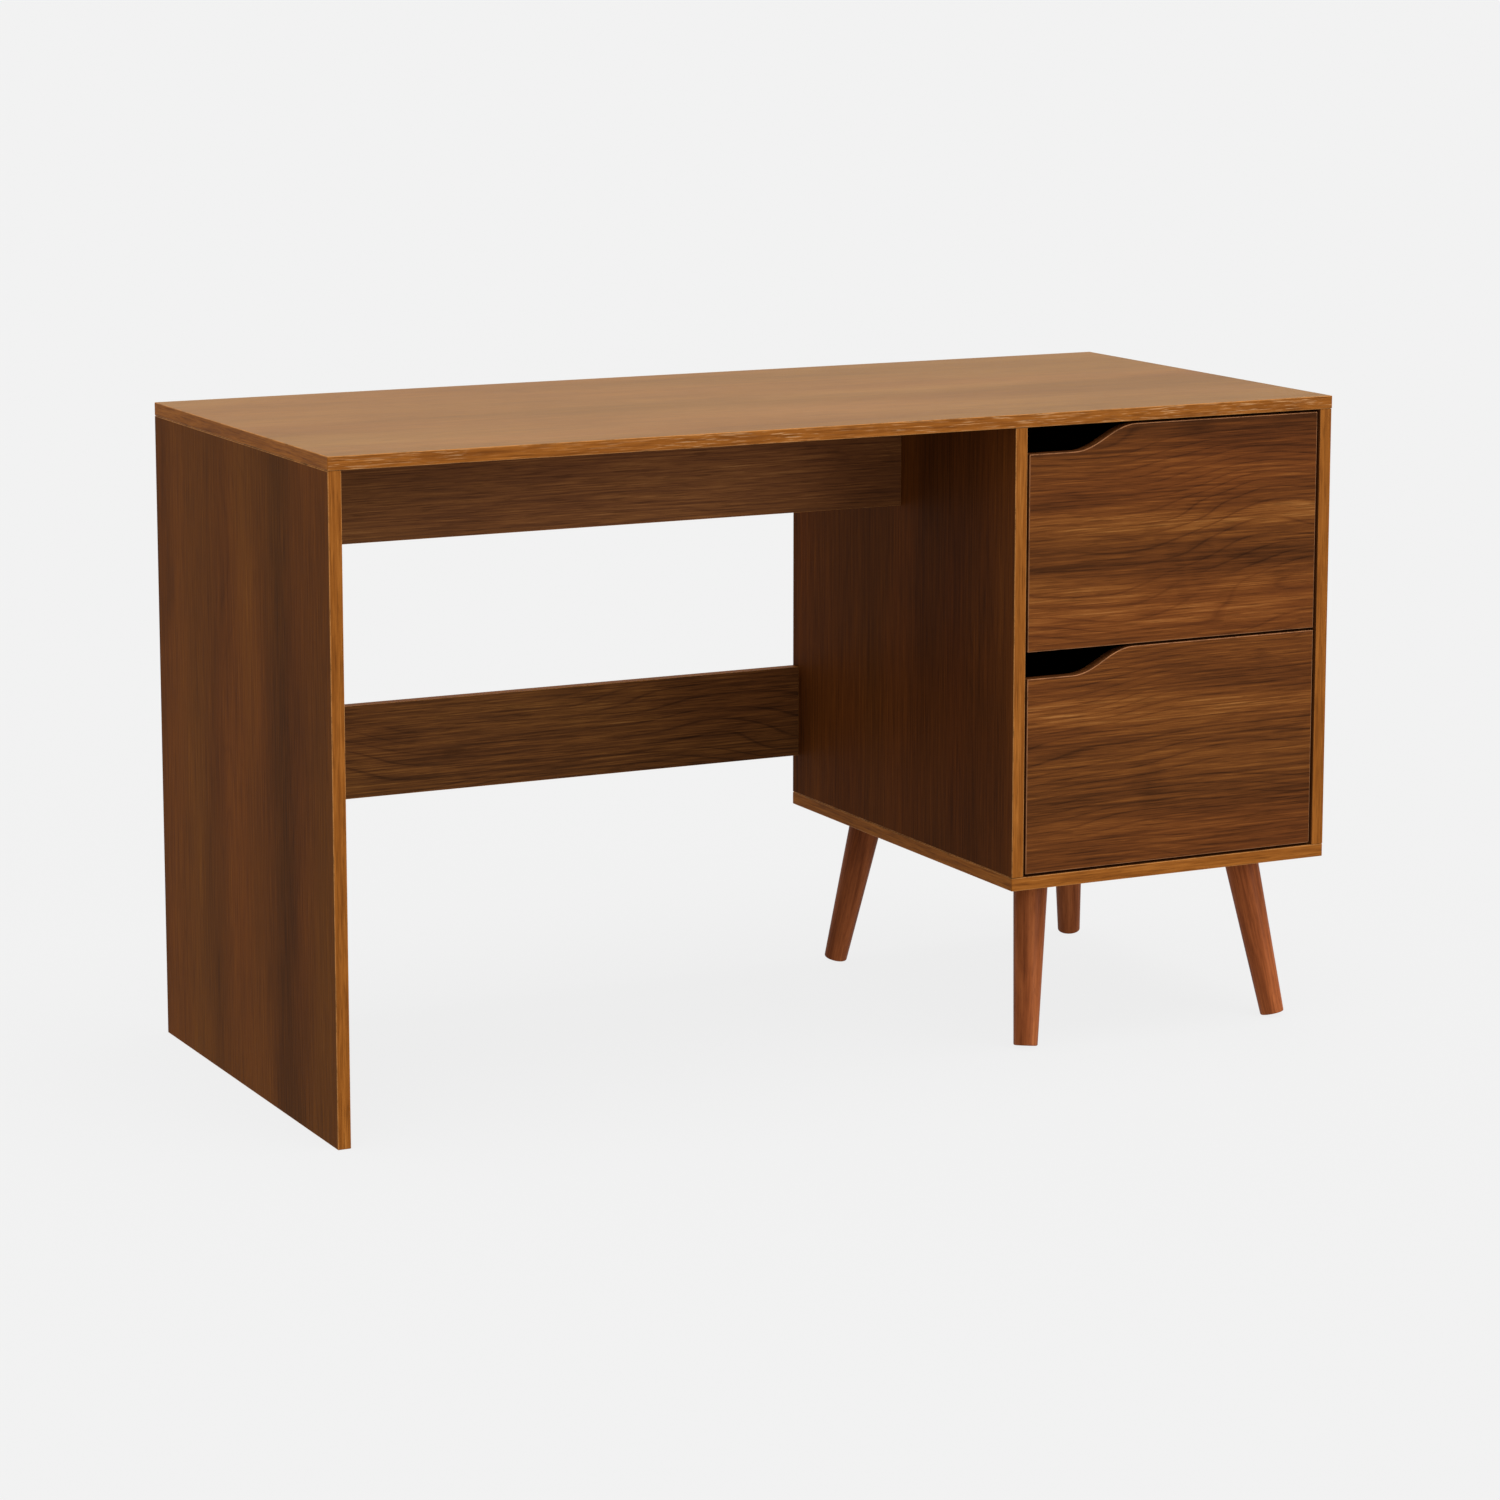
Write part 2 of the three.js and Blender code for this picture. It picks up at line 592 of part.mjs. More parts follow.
// An axle with a head that keeps the roller on, standing on a runner's web.
function axle(across, webFace, headStart, outward, y, z) {
  const headEnd = headStart + outward * AXLE_HEAD_THICKNESS;
  const root = webFace - outward * RUNNER_STEEL / 2;
  return [
    barX(across(root), across(headStart + outward * JOIN_OVERLAP), [y, z], AXLE_RADIUS),
    barX(across(headStart), across(headEnd), [y, z], AXLE_HEAD_RADIUS),
  ];
}

const roller = () =>
  ring(ROLLER_RADIUS, AXLE_RADIUS + RUNNING_CLEARANCE, ROLLER_WIDTH, ROLLER_FACETS);

// The cabinet's member: a channel, open towards the drawer, with a roller at its front end. Its
// floor has one stop for the fully open drawer and one for the closed drawer.
function addCabinetMember(name, across, z) {
  const front = RUNNER_FRONT;
  const rear = RUNNER_REAR;
  const [webOuter, webInner] = CHANNEL_WEB;
  const axleZ = z + FRONT_AXLE_RISE;
  const roofStart = FRONT_AXLE_Y + ROLLER_RADIUS + AXLE_HEAD_CLEARANCE;
  const dropToStop = ROLLER_RADIUS + RUNNING_CLEARANCE - OPEN_STOP_HEIGHT;
  const reachToStop = Math.sqrt(ROLLER_RADIUS ** 2 - dropToStop ** 2) + RUNNING_CLEARANCE;
  const stopRear = REAR_AXLE_Y - DRAWER_TRAVEL - reachToStop;
  const rollerNear = webInner + RUNNING_CLEARANCE;
  const rollerFar = rollerNear + ROLLER_WIDTH;

  const profile = outline([
    [across(webOuter), z],
    [across(CHANNEL_FLOOR_EDGE), z],
    [across(CHANNEL_FLOOR_EDGE), z + RUNNER_STEEL],
    [across(webInner), z + RUNNER_STEEL],
    [across(webInner), z + CHANNEL_HEIGHT - RUNNER_STEEL],
    [across(CHANNEL_ROOF_EDGE), z + CHANNEL_HEIGHT - RUNNER_STEEL],
    [across(CHANNEL_ROOF_EDGE), z + CHANNEL_HEIGHT],
    [across(webOuter), z + CHANNEL_HEIGHT],
  ]);
  const openZs = [z + RUNNER_STEEL / 2, z + RUNNER_STEEL + OPEN_STOP_HEIGHT];
  const closedZs = [z + RUNNER_STEEL / 2, z + RUNNER_STEEL + CLOSED_STOP_HEIGHT];
  const stopDistances = [webInner + RUNNER_STEEL, CHANNEL_FLOOR_EDGE - RUNNER_STEEL];
  const openStop = runnerBlock(across, stopDistances, [stopRear - RUNNER_STEEL, stopRear], openZs);
  const closedStop = runnerBlock(across, stopDistances, [rear - RUNNER_STEEL, rear], closedZs);
  const roofNotch = runnerBlock(
    across,
    [webInner, RUNNER_SPACE],
    [front - CUT_PAST, roofStart],
    [z + CHANNEL_HEIGHT - 2 * RUNNER_STEEL, z + CHANNEL_HEIGHT + CUT_PAST],
  );
  const body = shaped(extrudedAlongY(profile, front, rear), {
    joined: [openStop, closedStop],
    cutters: [roofNotch],
  });
  const axleParts = axle(across, webInner, rollerFar + RUNNING_CLEARANCE, 1, FRONT_AXLE_Y, axleZ);
  const geometry = shaped(body, { joined: axleParts });
  const origin = [across(0), front, z];
  desk.add(piece(`${name}_cabinet_member`, geometry, MATERIALS.steel, origin));

  const wheel = piece(`${name}_front_roller`, roller(), MATERIALS.nylon);
  wheel.position.set(across((rollerNear + rollerFar) / 2), FRONT_AXLE_Y, axleZ);
  desk.add(wheel);
}

// The drawer's member: an angle that carries the drawer's side on its shelf, a flange that rides on
// the front roller, and a roller at its rear end that runs in the cabinet's channel.
function addDrawerMember(drawer, name, across, z) {
  const [webOuter, webInner] = DRAWER_WEB;
  const flange = z + FLANGE_RISE;
  const shelf = z + SHELF_RISE;
  const axleZ = z + REAR_AXLE_RISE;
  const rollerNear = webOuter - RUNNING_CLEARANCE;
  const rollerFar = rollerNear - ROLLER_WIDTH;

  const profile = outline([
    [across(webOuter), shelf],
    [across(webInner + SHELF_REACH), shelf],
    [across(webInner + SHELF_REACH), shelf + RUNNER_STEEL],
    [across(webInner), shelf + RUNNER_STEEL],
    [across(webInner), flange + RUNNER_STEEL],
    [across(FLANGE_EDGE), flange + RUNNER_STEEL],
    [across(FLANGE_EDGE), flange],
    [across(webOuter), flange],
  ]);
  const geometry = shaped(extrudedAlongY(profile, RUNNER_FRONT, RUNNER_REAR), {
    joined: axle(across, webOuter, rollerFar - RUNNING_CLEARANCE, -1, REAR_AXLE_Y, axleZ),
  });
  const origin = [across(0), RUNNER_FRONT, z];
  drawer.add(piece(`${name}_drawer_member`, geometry, MATERIALS.steel, origin));

  const wheel = piece(`${name}_rear_roller`, roller(), MATERIALS.nylon);
  wheel.position.set(across((rollerNear + rollerFar) / 2), REAR_AXLE_Y, axleZ);
  drawer.add(wheel);
}

// ---------------------------------------------------------------- drawers

// The front's outline in X and Z from its lower left corner.
function frontOutline() {
  const scoopEnd = SCOOP_FLAT + SCOOP_SWEEP;
  const level = FRONT_HEIGHT - SCOOP_DEPTH;
  const ease = SCOOP_EASE * SCOOP_SWEEP;
  const shape = new THREE.Shape();
  shape.moveTo(0, 0);
  shape.lineTo(FRONT_WIDTH, 0);
  shape.lineTo(FRONT_WIDTH, FRONT_HEIGHT);
  shape.lineTo(scoopEnd, FRONT_HEIGHT);
  shape.bezierCurveTo(scoopEnd - ease, FRONT_HEIGHT, SCOOP_FLAT + ease, level, SCOOP_FLAT, level);
  shape.lineTo(0, level);
  return shape;
}

function addDrawer(name, z) {
  const drawer = new THREE.Group();
  const nodeName = (part) => `${name}_drawer_${part}`;

  const boxLeft = INNER_LEFT + RUNNER_SPACE;
  const boxRight = INNER_RIGHT - RUNNER_SPACE;
  const low = z + BOX_UNDERSIDE;
  const high = z + BOX_TOP;
  const rearFace = BOX_REAR - DRAWER_BOARD;

  const insert = PANEL_GROOVE_DEPTH - PANEL_GROOVE_CLEARANCE;
  const bottomLow = [
    boxLeft + DRAWER_BOARD - insert,
    FRONT_BACK - insert,
    z + BOTTOM_UNDERSIDE,
  ];
  const bottomHigh = [
    boxRight - DRAWER_BOARD + insert,
    rearFace + insert,
    z + BOTTOM_TOP,
  ];
  const groove = looseBlock(bottomLow, bottomHigh, PANEL_GROOVE_CLEARANCE);

  const frontOrigin = [INNER_LEFT + SIDE_REVEAL, FRONT_FACE, z];
  const frontBoard = extrudedAlongY(frontOutline(), 0, BOARD).translate(...frontOrigin);
  const front = shaped(frontBoard, { cutters: [groove] });
  drawer.add(piece(nodeName('front'), front, MATERIALS.drawerFront, frontOrigin));

  const sides = [
    ['left_side', boxLeft, boxLeft + DRAWER_BOARD],
    ['right_side', boxRight - DRAWER_BOARD, boxRight],
  ];
  for (const [part, x0, x1] of sides) {
    const corners = [[x0, BOX_FRONT, low], [x1, BOX_REAR, high]];
    drawer.add(board(nodeName(part), ...corners, MATERIALS.drawerBoard, [groove]));
  }
  drawer.add(board(
    nodeName('back'),
    [boxLeft + DRAWER_BOARD + JOINT_GAP, rearFace, low],
    [boxRight - DRAWER_BOARD - JOINT_GAP, BOX_REAR, high],
    MATERIALS.drawerBoard,
    [groove],
  ));
  drawer.add(board(nodeName('bottom'), bottomLow, bottomHigh, MATERIALS.hardboard));

  const runnerZ = z + RUNNER_RISE;
  for (const { side, across } of RUNNER_SIDES) {
    addCabinetMember(`${name}_${side}`, across, runnerZ);
    addDrawerMember(drawer, `${name}_${side}`, across, runnerZ);
  }
  desk.add(drawer);
}

DRAWER_NAMES.forEach((name, level) => {
  addDrawer(name, INNER_FLOOR + REVEAL + level * (FRONT_HEIGHT + REVEAL));
});

export default desk;
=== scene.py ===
"""Looks of a walnut-laminate writing desk with a two-drawer cabinet.

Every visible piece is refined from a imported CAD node, or turned here about a CAD node's axis, and
rides on that node's body. Lengths are metres: +X runs to the desk's right, the front faces -Y and
+Z is up.
"""

import json
import math

import bmesh
import bpy
import numpy as np
from mathutils import Matrix, Vector


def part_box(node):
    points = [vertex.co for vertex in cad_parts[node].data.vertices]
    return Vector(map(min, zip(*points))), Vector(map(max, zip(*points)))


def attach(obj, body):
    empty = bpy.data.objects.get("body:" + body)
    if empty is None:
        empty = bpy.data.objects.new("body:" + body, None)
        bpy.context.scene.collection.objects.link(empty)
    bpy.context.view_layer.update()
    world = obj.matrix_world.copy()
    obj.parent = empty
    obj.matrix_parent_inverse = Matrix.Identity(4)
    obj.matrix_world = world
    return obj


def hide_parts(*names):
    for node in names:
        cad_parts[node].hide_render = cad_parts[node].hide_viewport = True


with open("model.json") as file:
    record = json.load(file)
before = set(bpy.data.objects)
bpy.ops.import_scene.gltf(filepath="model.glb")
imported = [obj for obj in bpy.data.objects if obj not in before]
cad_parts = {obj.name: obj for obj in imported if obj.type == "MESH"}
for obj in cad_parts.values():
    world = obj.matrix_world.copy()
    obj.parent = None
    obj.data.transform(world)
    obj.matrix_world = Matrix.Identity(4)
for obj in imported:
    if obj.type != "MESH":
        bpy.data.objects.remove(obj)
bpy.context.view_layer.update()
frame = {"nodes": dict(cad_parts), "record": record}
NODES = frame["nodes"]
BODIES = frame["record"]["behaviour"]["bodies"]
SLOTS = {part["node"]: part["material_slot"] for part in frame["record"]["subparts"]}
BODY_OF = {node: body for body, nodes in BODIES.items() for node in nodes}
AXES = {"x": 0, "y": 1, "z": 2}

# Edges and round pieces.
BOARD_ARRIS = 0.0008
BOX_ARRIS = 0.0005
LEG_ARRIS = 0.0012
SHEET_METAL_ARRIS = 0.0003
SMALL_ARRIS = 0.0002
ARRIS_SEGMENTS = 3
SMALL_ARRIS_SEGMENTS = 2
SHORTEST_ROUNDED_EDGE = 0.003
SHORTEST_FINE_EDGE = 0.001
SHORTEST_LEG_EDGE = 0.0005
CREASE = math.radians(30)
SAME_PLACE = 1e-6
SAME_PLANE = math.radians(0.5)
FLAT_FACE = 0.9999  # a normal this far along one axis is a flat face's
LAMINATE_FACE = 0.999  # a normal this far along a board's thickness is a laminated face's
ARRIS_TILT = 0.02  # a normal that leans this far out of a board's edge is an arris's
LEG_END_FACE = 0.99  # a normal this far along a leg is an end face's
ROUND_FACETS = 72

# Rollers.
ROLLER_BORE_SHARE = 0.3  # of the roller's radius
ROLLER_LIP = 0.0004  # depth of the recessed web and of the crowned tyre's shoulder
ROLLER_HUB_WALL = 0.0022
ROLLER_WEB_SLOPE = 0.0004

# Screws.
SCREW_HEAD_RADIUS = 0.0036
SCREW_HEAD_HEIGHT = 0.0016
CONNECTOR_HEAD_RADIUS = 0.0050
CONNECTOR_HEAD_HEIGHT = 0.0008
HEAD_FACETS = 32
DOME_STEPS = 5
DOME_TAPER = 0.45  # share of the radius that a full dome loses at its top
TIP_RADIUS = 0.0001
RECESS_WIDTH = 0.0011
RECESS_REACH = 0.62  # of the head's radius
RECESS_DEPTH = 0.75  # of the head's height
RECESS_LIFT = 1.1  # of the head's height
PLATE_SCREW_INSET = 0.0085
PLATE_DROP = 0.0023  # from the cabinet's underside to a leg plate's lower face
SHELF_DROP = 0.0015  # from a drawer side's underside to its shelf's lower face
SHELF_SCREWS = 3
BOTTOM_SCREW_SHARES = (0.12, 0.5, 0.88)  # of the cabinet's depth

# Studio.
BACKDROP = (0.888, 0.888, 0.888)
FLOOR_HALF_WIDTH = 60.0
FLOOR_GLOW = 0.828
FLOOR_ALBEDO = 0.03
KEY_SUN = {"towards": (0.45, -0.87, 0.18), "energy": 1.5, "spread": 28}
OVERHEAD_SUN = {"towards": (0.05, -0.15, 1.0), "energy": 3.2, "spread": 50}

# Camera: where it stands, how far it turns from +Y towards +X, and how far it looks down.
CAMERA_PLACE = Vector((-2.2464, -4.5038, 1.3208))
CAMERA_TURN = 0.4633
CAMERA_TILT = 0.1605
CAMERA_SENSOR = 36
CAMERA_LENS = 105.77
CAMERA_SHIFT_Y = -0.1


def srgb(red, green, blue):
    """The linear colour of display values from 0 to 255."""
    levels = [value / 255 for value in (red, green, blue)]
    return tuple(
        level / 12.92 if level <= 0.04045 else ((level + 0.055) / 1.055) ** 2.4
        for level in levels
    )


# ---------------------------------------------------------------- node graphs


class Graph:
    """A material's node tree, with short calls for the nodes that the finishes share."""

    def __init__(self, name):
        self.material = bpy.data.materials.new(name)
        self.material.use_nodes = True
        self.tree = self.material.node_tree
        self.shader = self.tree.nodes["Principled BSDF"]

    def node(self, kind, inputs=None, **settings):
        """A new node with its settings and inputs. An input is a value or another node's socket."""
        node = self.tree.nodes.new(kind)
        for name, value in settings.items():
            setattr(node, name, value)
        for key, value in (inputs or {}).items():
            self.feed(node.inputs[key], value)
        return node

    def feed(self, socket, value):
        if isinstance(value, bpy.types.NodeSocket):
            self.tree.links.new(value, socket)
        elif socket.type == "RGBA":
            socket.default_value = (*value, 1)
        else:
            socket.default_value = value

    def place(self, offset=(0, 0, 0), turn=(0, 0, 0)):
        """The surface point in the piece's own coordinates, turned and then moved by an offset."""
        point = self.node("ShaderNodeTexCoord").outputs["Object"]
        inputs = {"Vector": point, "Rotation": turn, "Location": offset}
        return self.node("ShaderNodeMapping", inputs).outputs["Vector"]

    def scaled(self, vector, scale):
        inputs = {"Vector": vector, "Scale": scale}
        return self.node("ShaderNodeMapping", inputs).outputs["Vector"]

    def noise(self, vector, scale, detail=2.0, roughness=0.5, distortion=0.0):
        inputs = {
            "Vector": vector,
            "Scale": scale,
            "Detail": detail,
            "Roughness": roughness,
            "Distortion": distortion,
        }
        return self.node("ShaderNodeTexNoise", inputs).outputs[0]

    def math(self, operation, *values):
        inputs = dict(enumerate(values))
        return self.node("ShaderNodeMath", inputs, operation=operation).outputs[0]

    def swing(self, value, weight):
        """A noise value as a deviation about zero, times a weight."""
        return self.math("MULTIPLY", self.math("SUBTRACT", value, 0.5), weight)

    def total(self, first, *rest):
        for value in rest:
            first = self.math("ADD", first, value)
        return first

    def ramp(self, value, stops, interpolation="LINEAR"):
        """A colour ramp's colour. Stops are pairs of a position and a linear colour or a level."""
        node = self.node("ShaderNodeValToRGB", {"Fac": value})
        elements = node.color_ramp.elements
        node.color_ramp.interpolation = interpolation
        while len(elements) < len(stops):
            elements.new(0.5)
        for element, (position, colour) in zip(elements, stops):
            element.position = position
            rgb = colour if isinstance(colour, tuple) else (colour,) * 3
            element.color = (*rgb, 1)
        return node.outputs["Color"]

    def span(self, value, low, high):
        """A value from 0 to 1 remapped to run from low to high."""
        inputs = {"Value": value, "To Min": low, "To Max": high}
        return self.node("ShaderNodeMapRange", inputs).outputs["Result"]

    def mix(self, factor, first, second, blend="MIX"):
        node = self.node("ShaderNodeMix", data_type="RGBA", blend_type=blend)
        for index, value in ((0, factor), (6, first), (7, second)):
            self.feed(node.inputs[index], value)
        return node.outputs[2]

    def bump(self, height, distance, strength=1.0):
        inputs = {"Height": height, "Distance": distance, "Strength": strength}
        return self.node("ShaderNodeBump", inputs).outputs["Normal"]

    def finish(self, **inputs):
        """Feeds the shader's sockets, named with underscores for spaces, and returns the material."""
        for name, value in inputs.items():
            self.feed(self.shader.inputs[name.replace("_", " ")], value)
        return self.material


# ---------------------------------------------------------------- wood finishes

GROWTH_SPACING = 0.013
GROWTH_SWAY = 15  # in spacings

# Stops from the darkest late wood to the palest streak.
WALNUT = [
    (0.00, srgb(38, 19, 8)),
    (0.28, srgb(61, 33, 15)),
    (0.48, srgb(82, 45, 20)),
    (0.64, srgb(96, 54, 23)),
    (0.80, srgb(114, 68, 30)),
    (1.00, srgb(142, 94, 48)),
]
# The desktop's stops: the same walnut made paler, as painted light from above and a painted sheen.
TOP_LIT_WALNUT = [
    (0.00, srgb(84, 55, 26)),
    (0.30, srgb(106, 72, 35)),
    (0.50, srgb(119, 82, 42)),
    (0.70, srgb(131, 93, 50)),
    (1.00, srgb(152, 112, 66)),
]
GOLDEN_OAK = [
    (0.00, srgb(72, 36, 8)),
    (0.30, srgb(104, 58, 18)),
    (0.52, srgb(124, 72, 24)),
    (0.75, srgb(142, 87, 34)),
    (1.00, srgb(176, 124, 66)),
]
BEECH_STAIN = [
    (0.00, srgb(66, 29, 12)),
    (0.32, srgb(98, 49, 23)),
    (0.52, srgb(121, 64, 32)),
    (0.75, srgb(138, 77, 41)),
    (1.00, srgb(160, 98, 56)),
]
UMBER = [
    (0.00, srgb(38, 22, 11)),
    (0.35, srgb(58, 35, 19)),
    (0.60, srgb(74, 46, 26)),
    (1.00, srgb(96, 64, 38)),
]


def along(grain, ratio):
    """A scale vector that draws a pattern out along the grain."""
    scale = [1.0, 1.0, 1.0]
    scale[AXES[grain]] = ratio
    return tuple(scale)


def seed_offset(seed):
    """A shift that gives each board its own part of the pattern."""
    return (0.73 * seed, 1.91 * seed, 1.37 * seed)


def fine_grain(graph, point, grain):
    """Thin lengthwise streaks, and the shorter, darker pores between them."""
    streaks = graph.noise(graph.scaled(point, along(grain, 0.02)), 460, 5, 0.7)
    pores = graph.noise(graph.scaled(point, along(grain, 0.045)), 640, 2, 0.5)
    return streaks, graph.ramp(pores, [(0.35, 0.0), (0.45, 1.0)])


def growth_lines(graph, point, grain, spacing, sway):
    """Lines a spacing apart along the grain, swayed into cathedrals and eyes, that fade in places."""
    drawn = graph.scaled(point, along(grain, 0.26))
    parts = graph.node("ShaderNodeSeparateXYZ", {"Vector": point})
    across = [parts.outputs[index] for axis, index in AXES.items() if axis != grain]
    field = graph.noise(drawn, 9, 1.6, 0.34, 0.12)
    count = graph.math("DIVIDE", graph.total(*across), spacing)
    phase = graph.math("FRACT", graph.total(count, graph.swing(field, sway)))
    line = graph.ramp(phase, [(0.0, 0.1), (0.08, 0.44), (0.5, 0.6), (0.88, 0.54), (1.0, 0.1)])
    presence = graph.ramp(graph.noise(drawn, 14, 2, 0.5), [(0.36, 0.15), (0.58, 1.0)])
    return graph.mix(presence, (0.5, 0.5, 0.5), line)


def knot_shadows(graph, point, grain):
    """Sparse, soft dark patches, as round knots."""
    patches = graph.noise(graph.scaled(point, along(grain, 0.45)), 13, 3, 0.5, 0.8)
    return graph.ramp(patches, [(0.58, 0.0), (0.74, 1.0)])


def profile_tone(graph, across, extent, stops, point, grain):
    """A tone that changes across the board from its low edge to its high edge, with a slow wander."""
    parts = graph.node("ShaderNodeSeparateXYZ", {"Vector": graph.place()})
    low, high = extent
    inputs = {"Value": parts.outputs[AXES[across]], "From Min": low, "From Max": high}
    share = graph.node("ShaderNodeMapRange", inputs).outputs["Result"]
    wander = graph.noise(graph.scaled(point, along(grain, 0.35)), 7, 1.5, 0.45)
    moved = graph.total(share, graph.swing(wander, 0.34))
    return graph.ramp(moved, stops, "EASE")


def walnut_laminate(
    name,
    grain,
    seed,
    tones=WALNUT,
    profile=None,
    base=0.5,
    contrast=1.0,
    figure=1.0,
    light_and_shade_tint=(1, 1, 1),
    hue_swing=0.03,
    gloss=0.5,
    sheen=0.008,
):
    """Printed walnut foil. A profile is (axis across the grain, its extent, tone stops). A tint is
    painted light and shade.
    """
    graph = Graph(name)
    point = graph.place(seed_offset(seed))
    streaks, pores = fine_grain(graph, point, grain)
    lines = growth_lines(graph, point, grain, GROWTH_SPACING, GROWTH_SWAY)
    knots = knot_shadows(graph, point, grain)
    threads = graph.noise(graph.scaled(point, along(grain, 0.03)), 150, 3, 0.6)
    broad = graph.noise(graph.scaled(point, along(grain, 0.22)), 9, 2, 0.5)
    if profile:
        across, extent, stops = profile
        base = profile_tone(graph, across, extent, stops, point, grain)
    tone = graph.total(
        base,
        graph.swing(broad, 0.42 * contrast),
        graph.swing(lines, 0.55 * contrast * figure),
        graph.math("MULTIPLY", knots, -0.16 * contrast * figure),
        graph.swing(threads, 0.34 * contrast),
        graph.swing(streaks, 1.45 * contrast),
    )
    colour = graph.ramp(tone, tones)
    hue = graph.noise(graph.scaled(point, along(grain, 0.2)), 7, 1, 0.5)
    # The tint multiplies painted light and shade into this board's colour.
    olive = tuple(level * (1 + sign * hue_swing) for level, sign in zip(light_and_shade_tint, (-1, 0.5, 0)))
    russet = tuple(level * (1 + sign * hue_swing) for level, sign in zip(light_and_shade_tint, (1, -0.5, 0)))
    colour = graph.mix(1.0, colour, graph.ramp(hue, [(0.36, olive), (0.64, russet)]), "MULTIPLY")
    colour = graph.mix(graph.span(pores, 0.34 * contrast, 0.0), colour, tones[0][1])
    return graph.finish(
        Base_Color=colour,
        Roughness=graph.span(streaks, gloss - 0.05, gloss + 0.12),
        Specular_IOR_Level=sheen,
        Normal=graph.bump(graph.total(streaks, pores), 0.00012, 0.35),
    )


def edge_band(name, grain, tones=GOLDEN_OAK, flecks=0.0, seed=3.0):
    """Edge banding with fine lengthwise grain. Its flecks are short, bright dashes."""
    graph = Graph(name)
    point = graph.place(seed_offset(seed))
    streaks, pores = fine_grain(graph, point, grain)
    waves = graph.noise(graph.scaled(point, along(grain, 0.09)), 170, 3, 0.62, 0.4)
    dashes = graph.noise(graph.scaled(point, along(grain, 0.045)), 1000, 2, 0.55)
    patches = graph.noise(graph.scaled(point, along(grain, 0.3)), 16, 2, 0.5)
    tone = graph.total(
        0.52,
        graph.swing(streaks, 1.1),
        graph.swing(waves, 0.6),
        graph.swing(dashes, 0.3),
        graph.swing(patches, 0.25),
    )
    colour = graph.mix(graph.span(pores, 0.4, 0.0), graph.ramp(tone, tones), tones[0][1])
    dash_mask = graph.math(
        "MULTIPLY",
        graph.ramp(dashes, [(0.56, 0.0), (0.68, flecks)]),
        graph.ramp(patches, [(0.44, 0.25), (0.60, 1.0)]),
    )
    colour = graph.mix(dash_mask, colour, srgb(226, 190, 142))
    return graph.finish(
        Base_Color=colour,
        Roughness=graph.span(streaks, 0.40, 0.58),
        Specular_IOR_Level=0.02,
        Normal=graph.bump(graph.total(streaks, pores), 0.0001, 0.35),
    )


def worn_and_highlit_arris(name, colour, seed=5.0):
    """The rounded corner of a band, paler from trimming and use and from a painted highlight."""
    graph = Graph(name)
    point = graph.place(seed_offset(seed))
    rub = graph.noise(point, 55, 4, 0.65)
    grit = graph.noise(point, 900, 3, 0.6)
    tone = graph.total(0.5, graph.swing(rub, 1.3), graph.swing(grit, 0.7))
    dark = tuple(level * 0.45 for level in colour)
    pale = tuple(level * 1.25 for level in colour)
    return graph.finish(
        Base_Color=graph.ramp(tone, [(0.2, dark), (0.5, colour), (0.85, pale)]),
        Roughness=graph.span(rub, 0.42, 0.66),
        Specular_IOR_Level=0.03,
        Normal=graph.bump(grit, 0.00005, 0.3),
    )


def stained_timber(name, seed, direction, depth):
    """Turned and stained solid wood, with its grain along a direction. A deeper stain is darker; its
    depth holds painted light and shade too.
    """
    graph = Graph(name)
    upright = direction.rotation_difference(Vector((0, 0, 1))).to_euler()
    point = graph.place(seed_offset(seed), upright)
    streaks, pores = fine_grain(graph, point, "z")
    rings = graph.noise(graph.scaled(point, along("z", 0.07)), 95, 2.5, 0.5, 0.3)
    rays = graph.noise(graph.scaled(point, along("z", 0.16)), 520, 1, 0.5)
    patches = graph.noise(graph.scaled(point, along("z", 0.3)), 18, 2, 0.5)
    tone = graph.total(
        0.52,
        graph.swing(rings, 0.9),
        graph.swing(streaks, 0.8),
        graph.swing(patches, 0.4),
    )
    colour = graph.ramp(tone, BEECH_STAIN)
    colour = graph.mix(graph.ramp(rays, [(0.60, 0.0), (0.72, 0.35)]), colour, srgb(88, 42, 20))
    colour = graph.mix(graph.span(pores, 0.25, 0.0), colour, BEECH_STAIN[0][1])
    # Painted light and shade: the depth lightens or darkens the whole leg beyond its stain.
    colour = graph.mix(1.0, colour, (1 / depth,) * 3, "MULTIPLY")
    return graph.finish(
        Base_Color=colour,
        Roughness=graph.span(streaks, 0.34, 0.52),
        Specular_IOR_Level=0.03,
        Coat_Weight=0.01,
        Coat_Roughness=0.3,
        Normal=graph.bump(graph.total(streaks, pores), 0.00012, 0.35),
    )


def bare_wood(name, seed):
    """Pale, fluted beech of a dowel."""
    graph = Graph(name)
    point = graph.place(seed_offset(seed))
    streaks, pores = fine_grain(graph, point, "z")
    colour = graph.ramp(streaks, [(0.3, srgb(168, 128, 84)), (0.7, srgb(212, 180, 134))])
    return graph.finish(
        Base_Color=graph.mix(graph.span(pores, 0.4, 0.0), colour, srgb(120, 84, 50)),
        Roughness=graph.span(streaks, 0.6, 0.8),
        Normal=graph.bump(streaks, 0.0002, 0.5),
    )


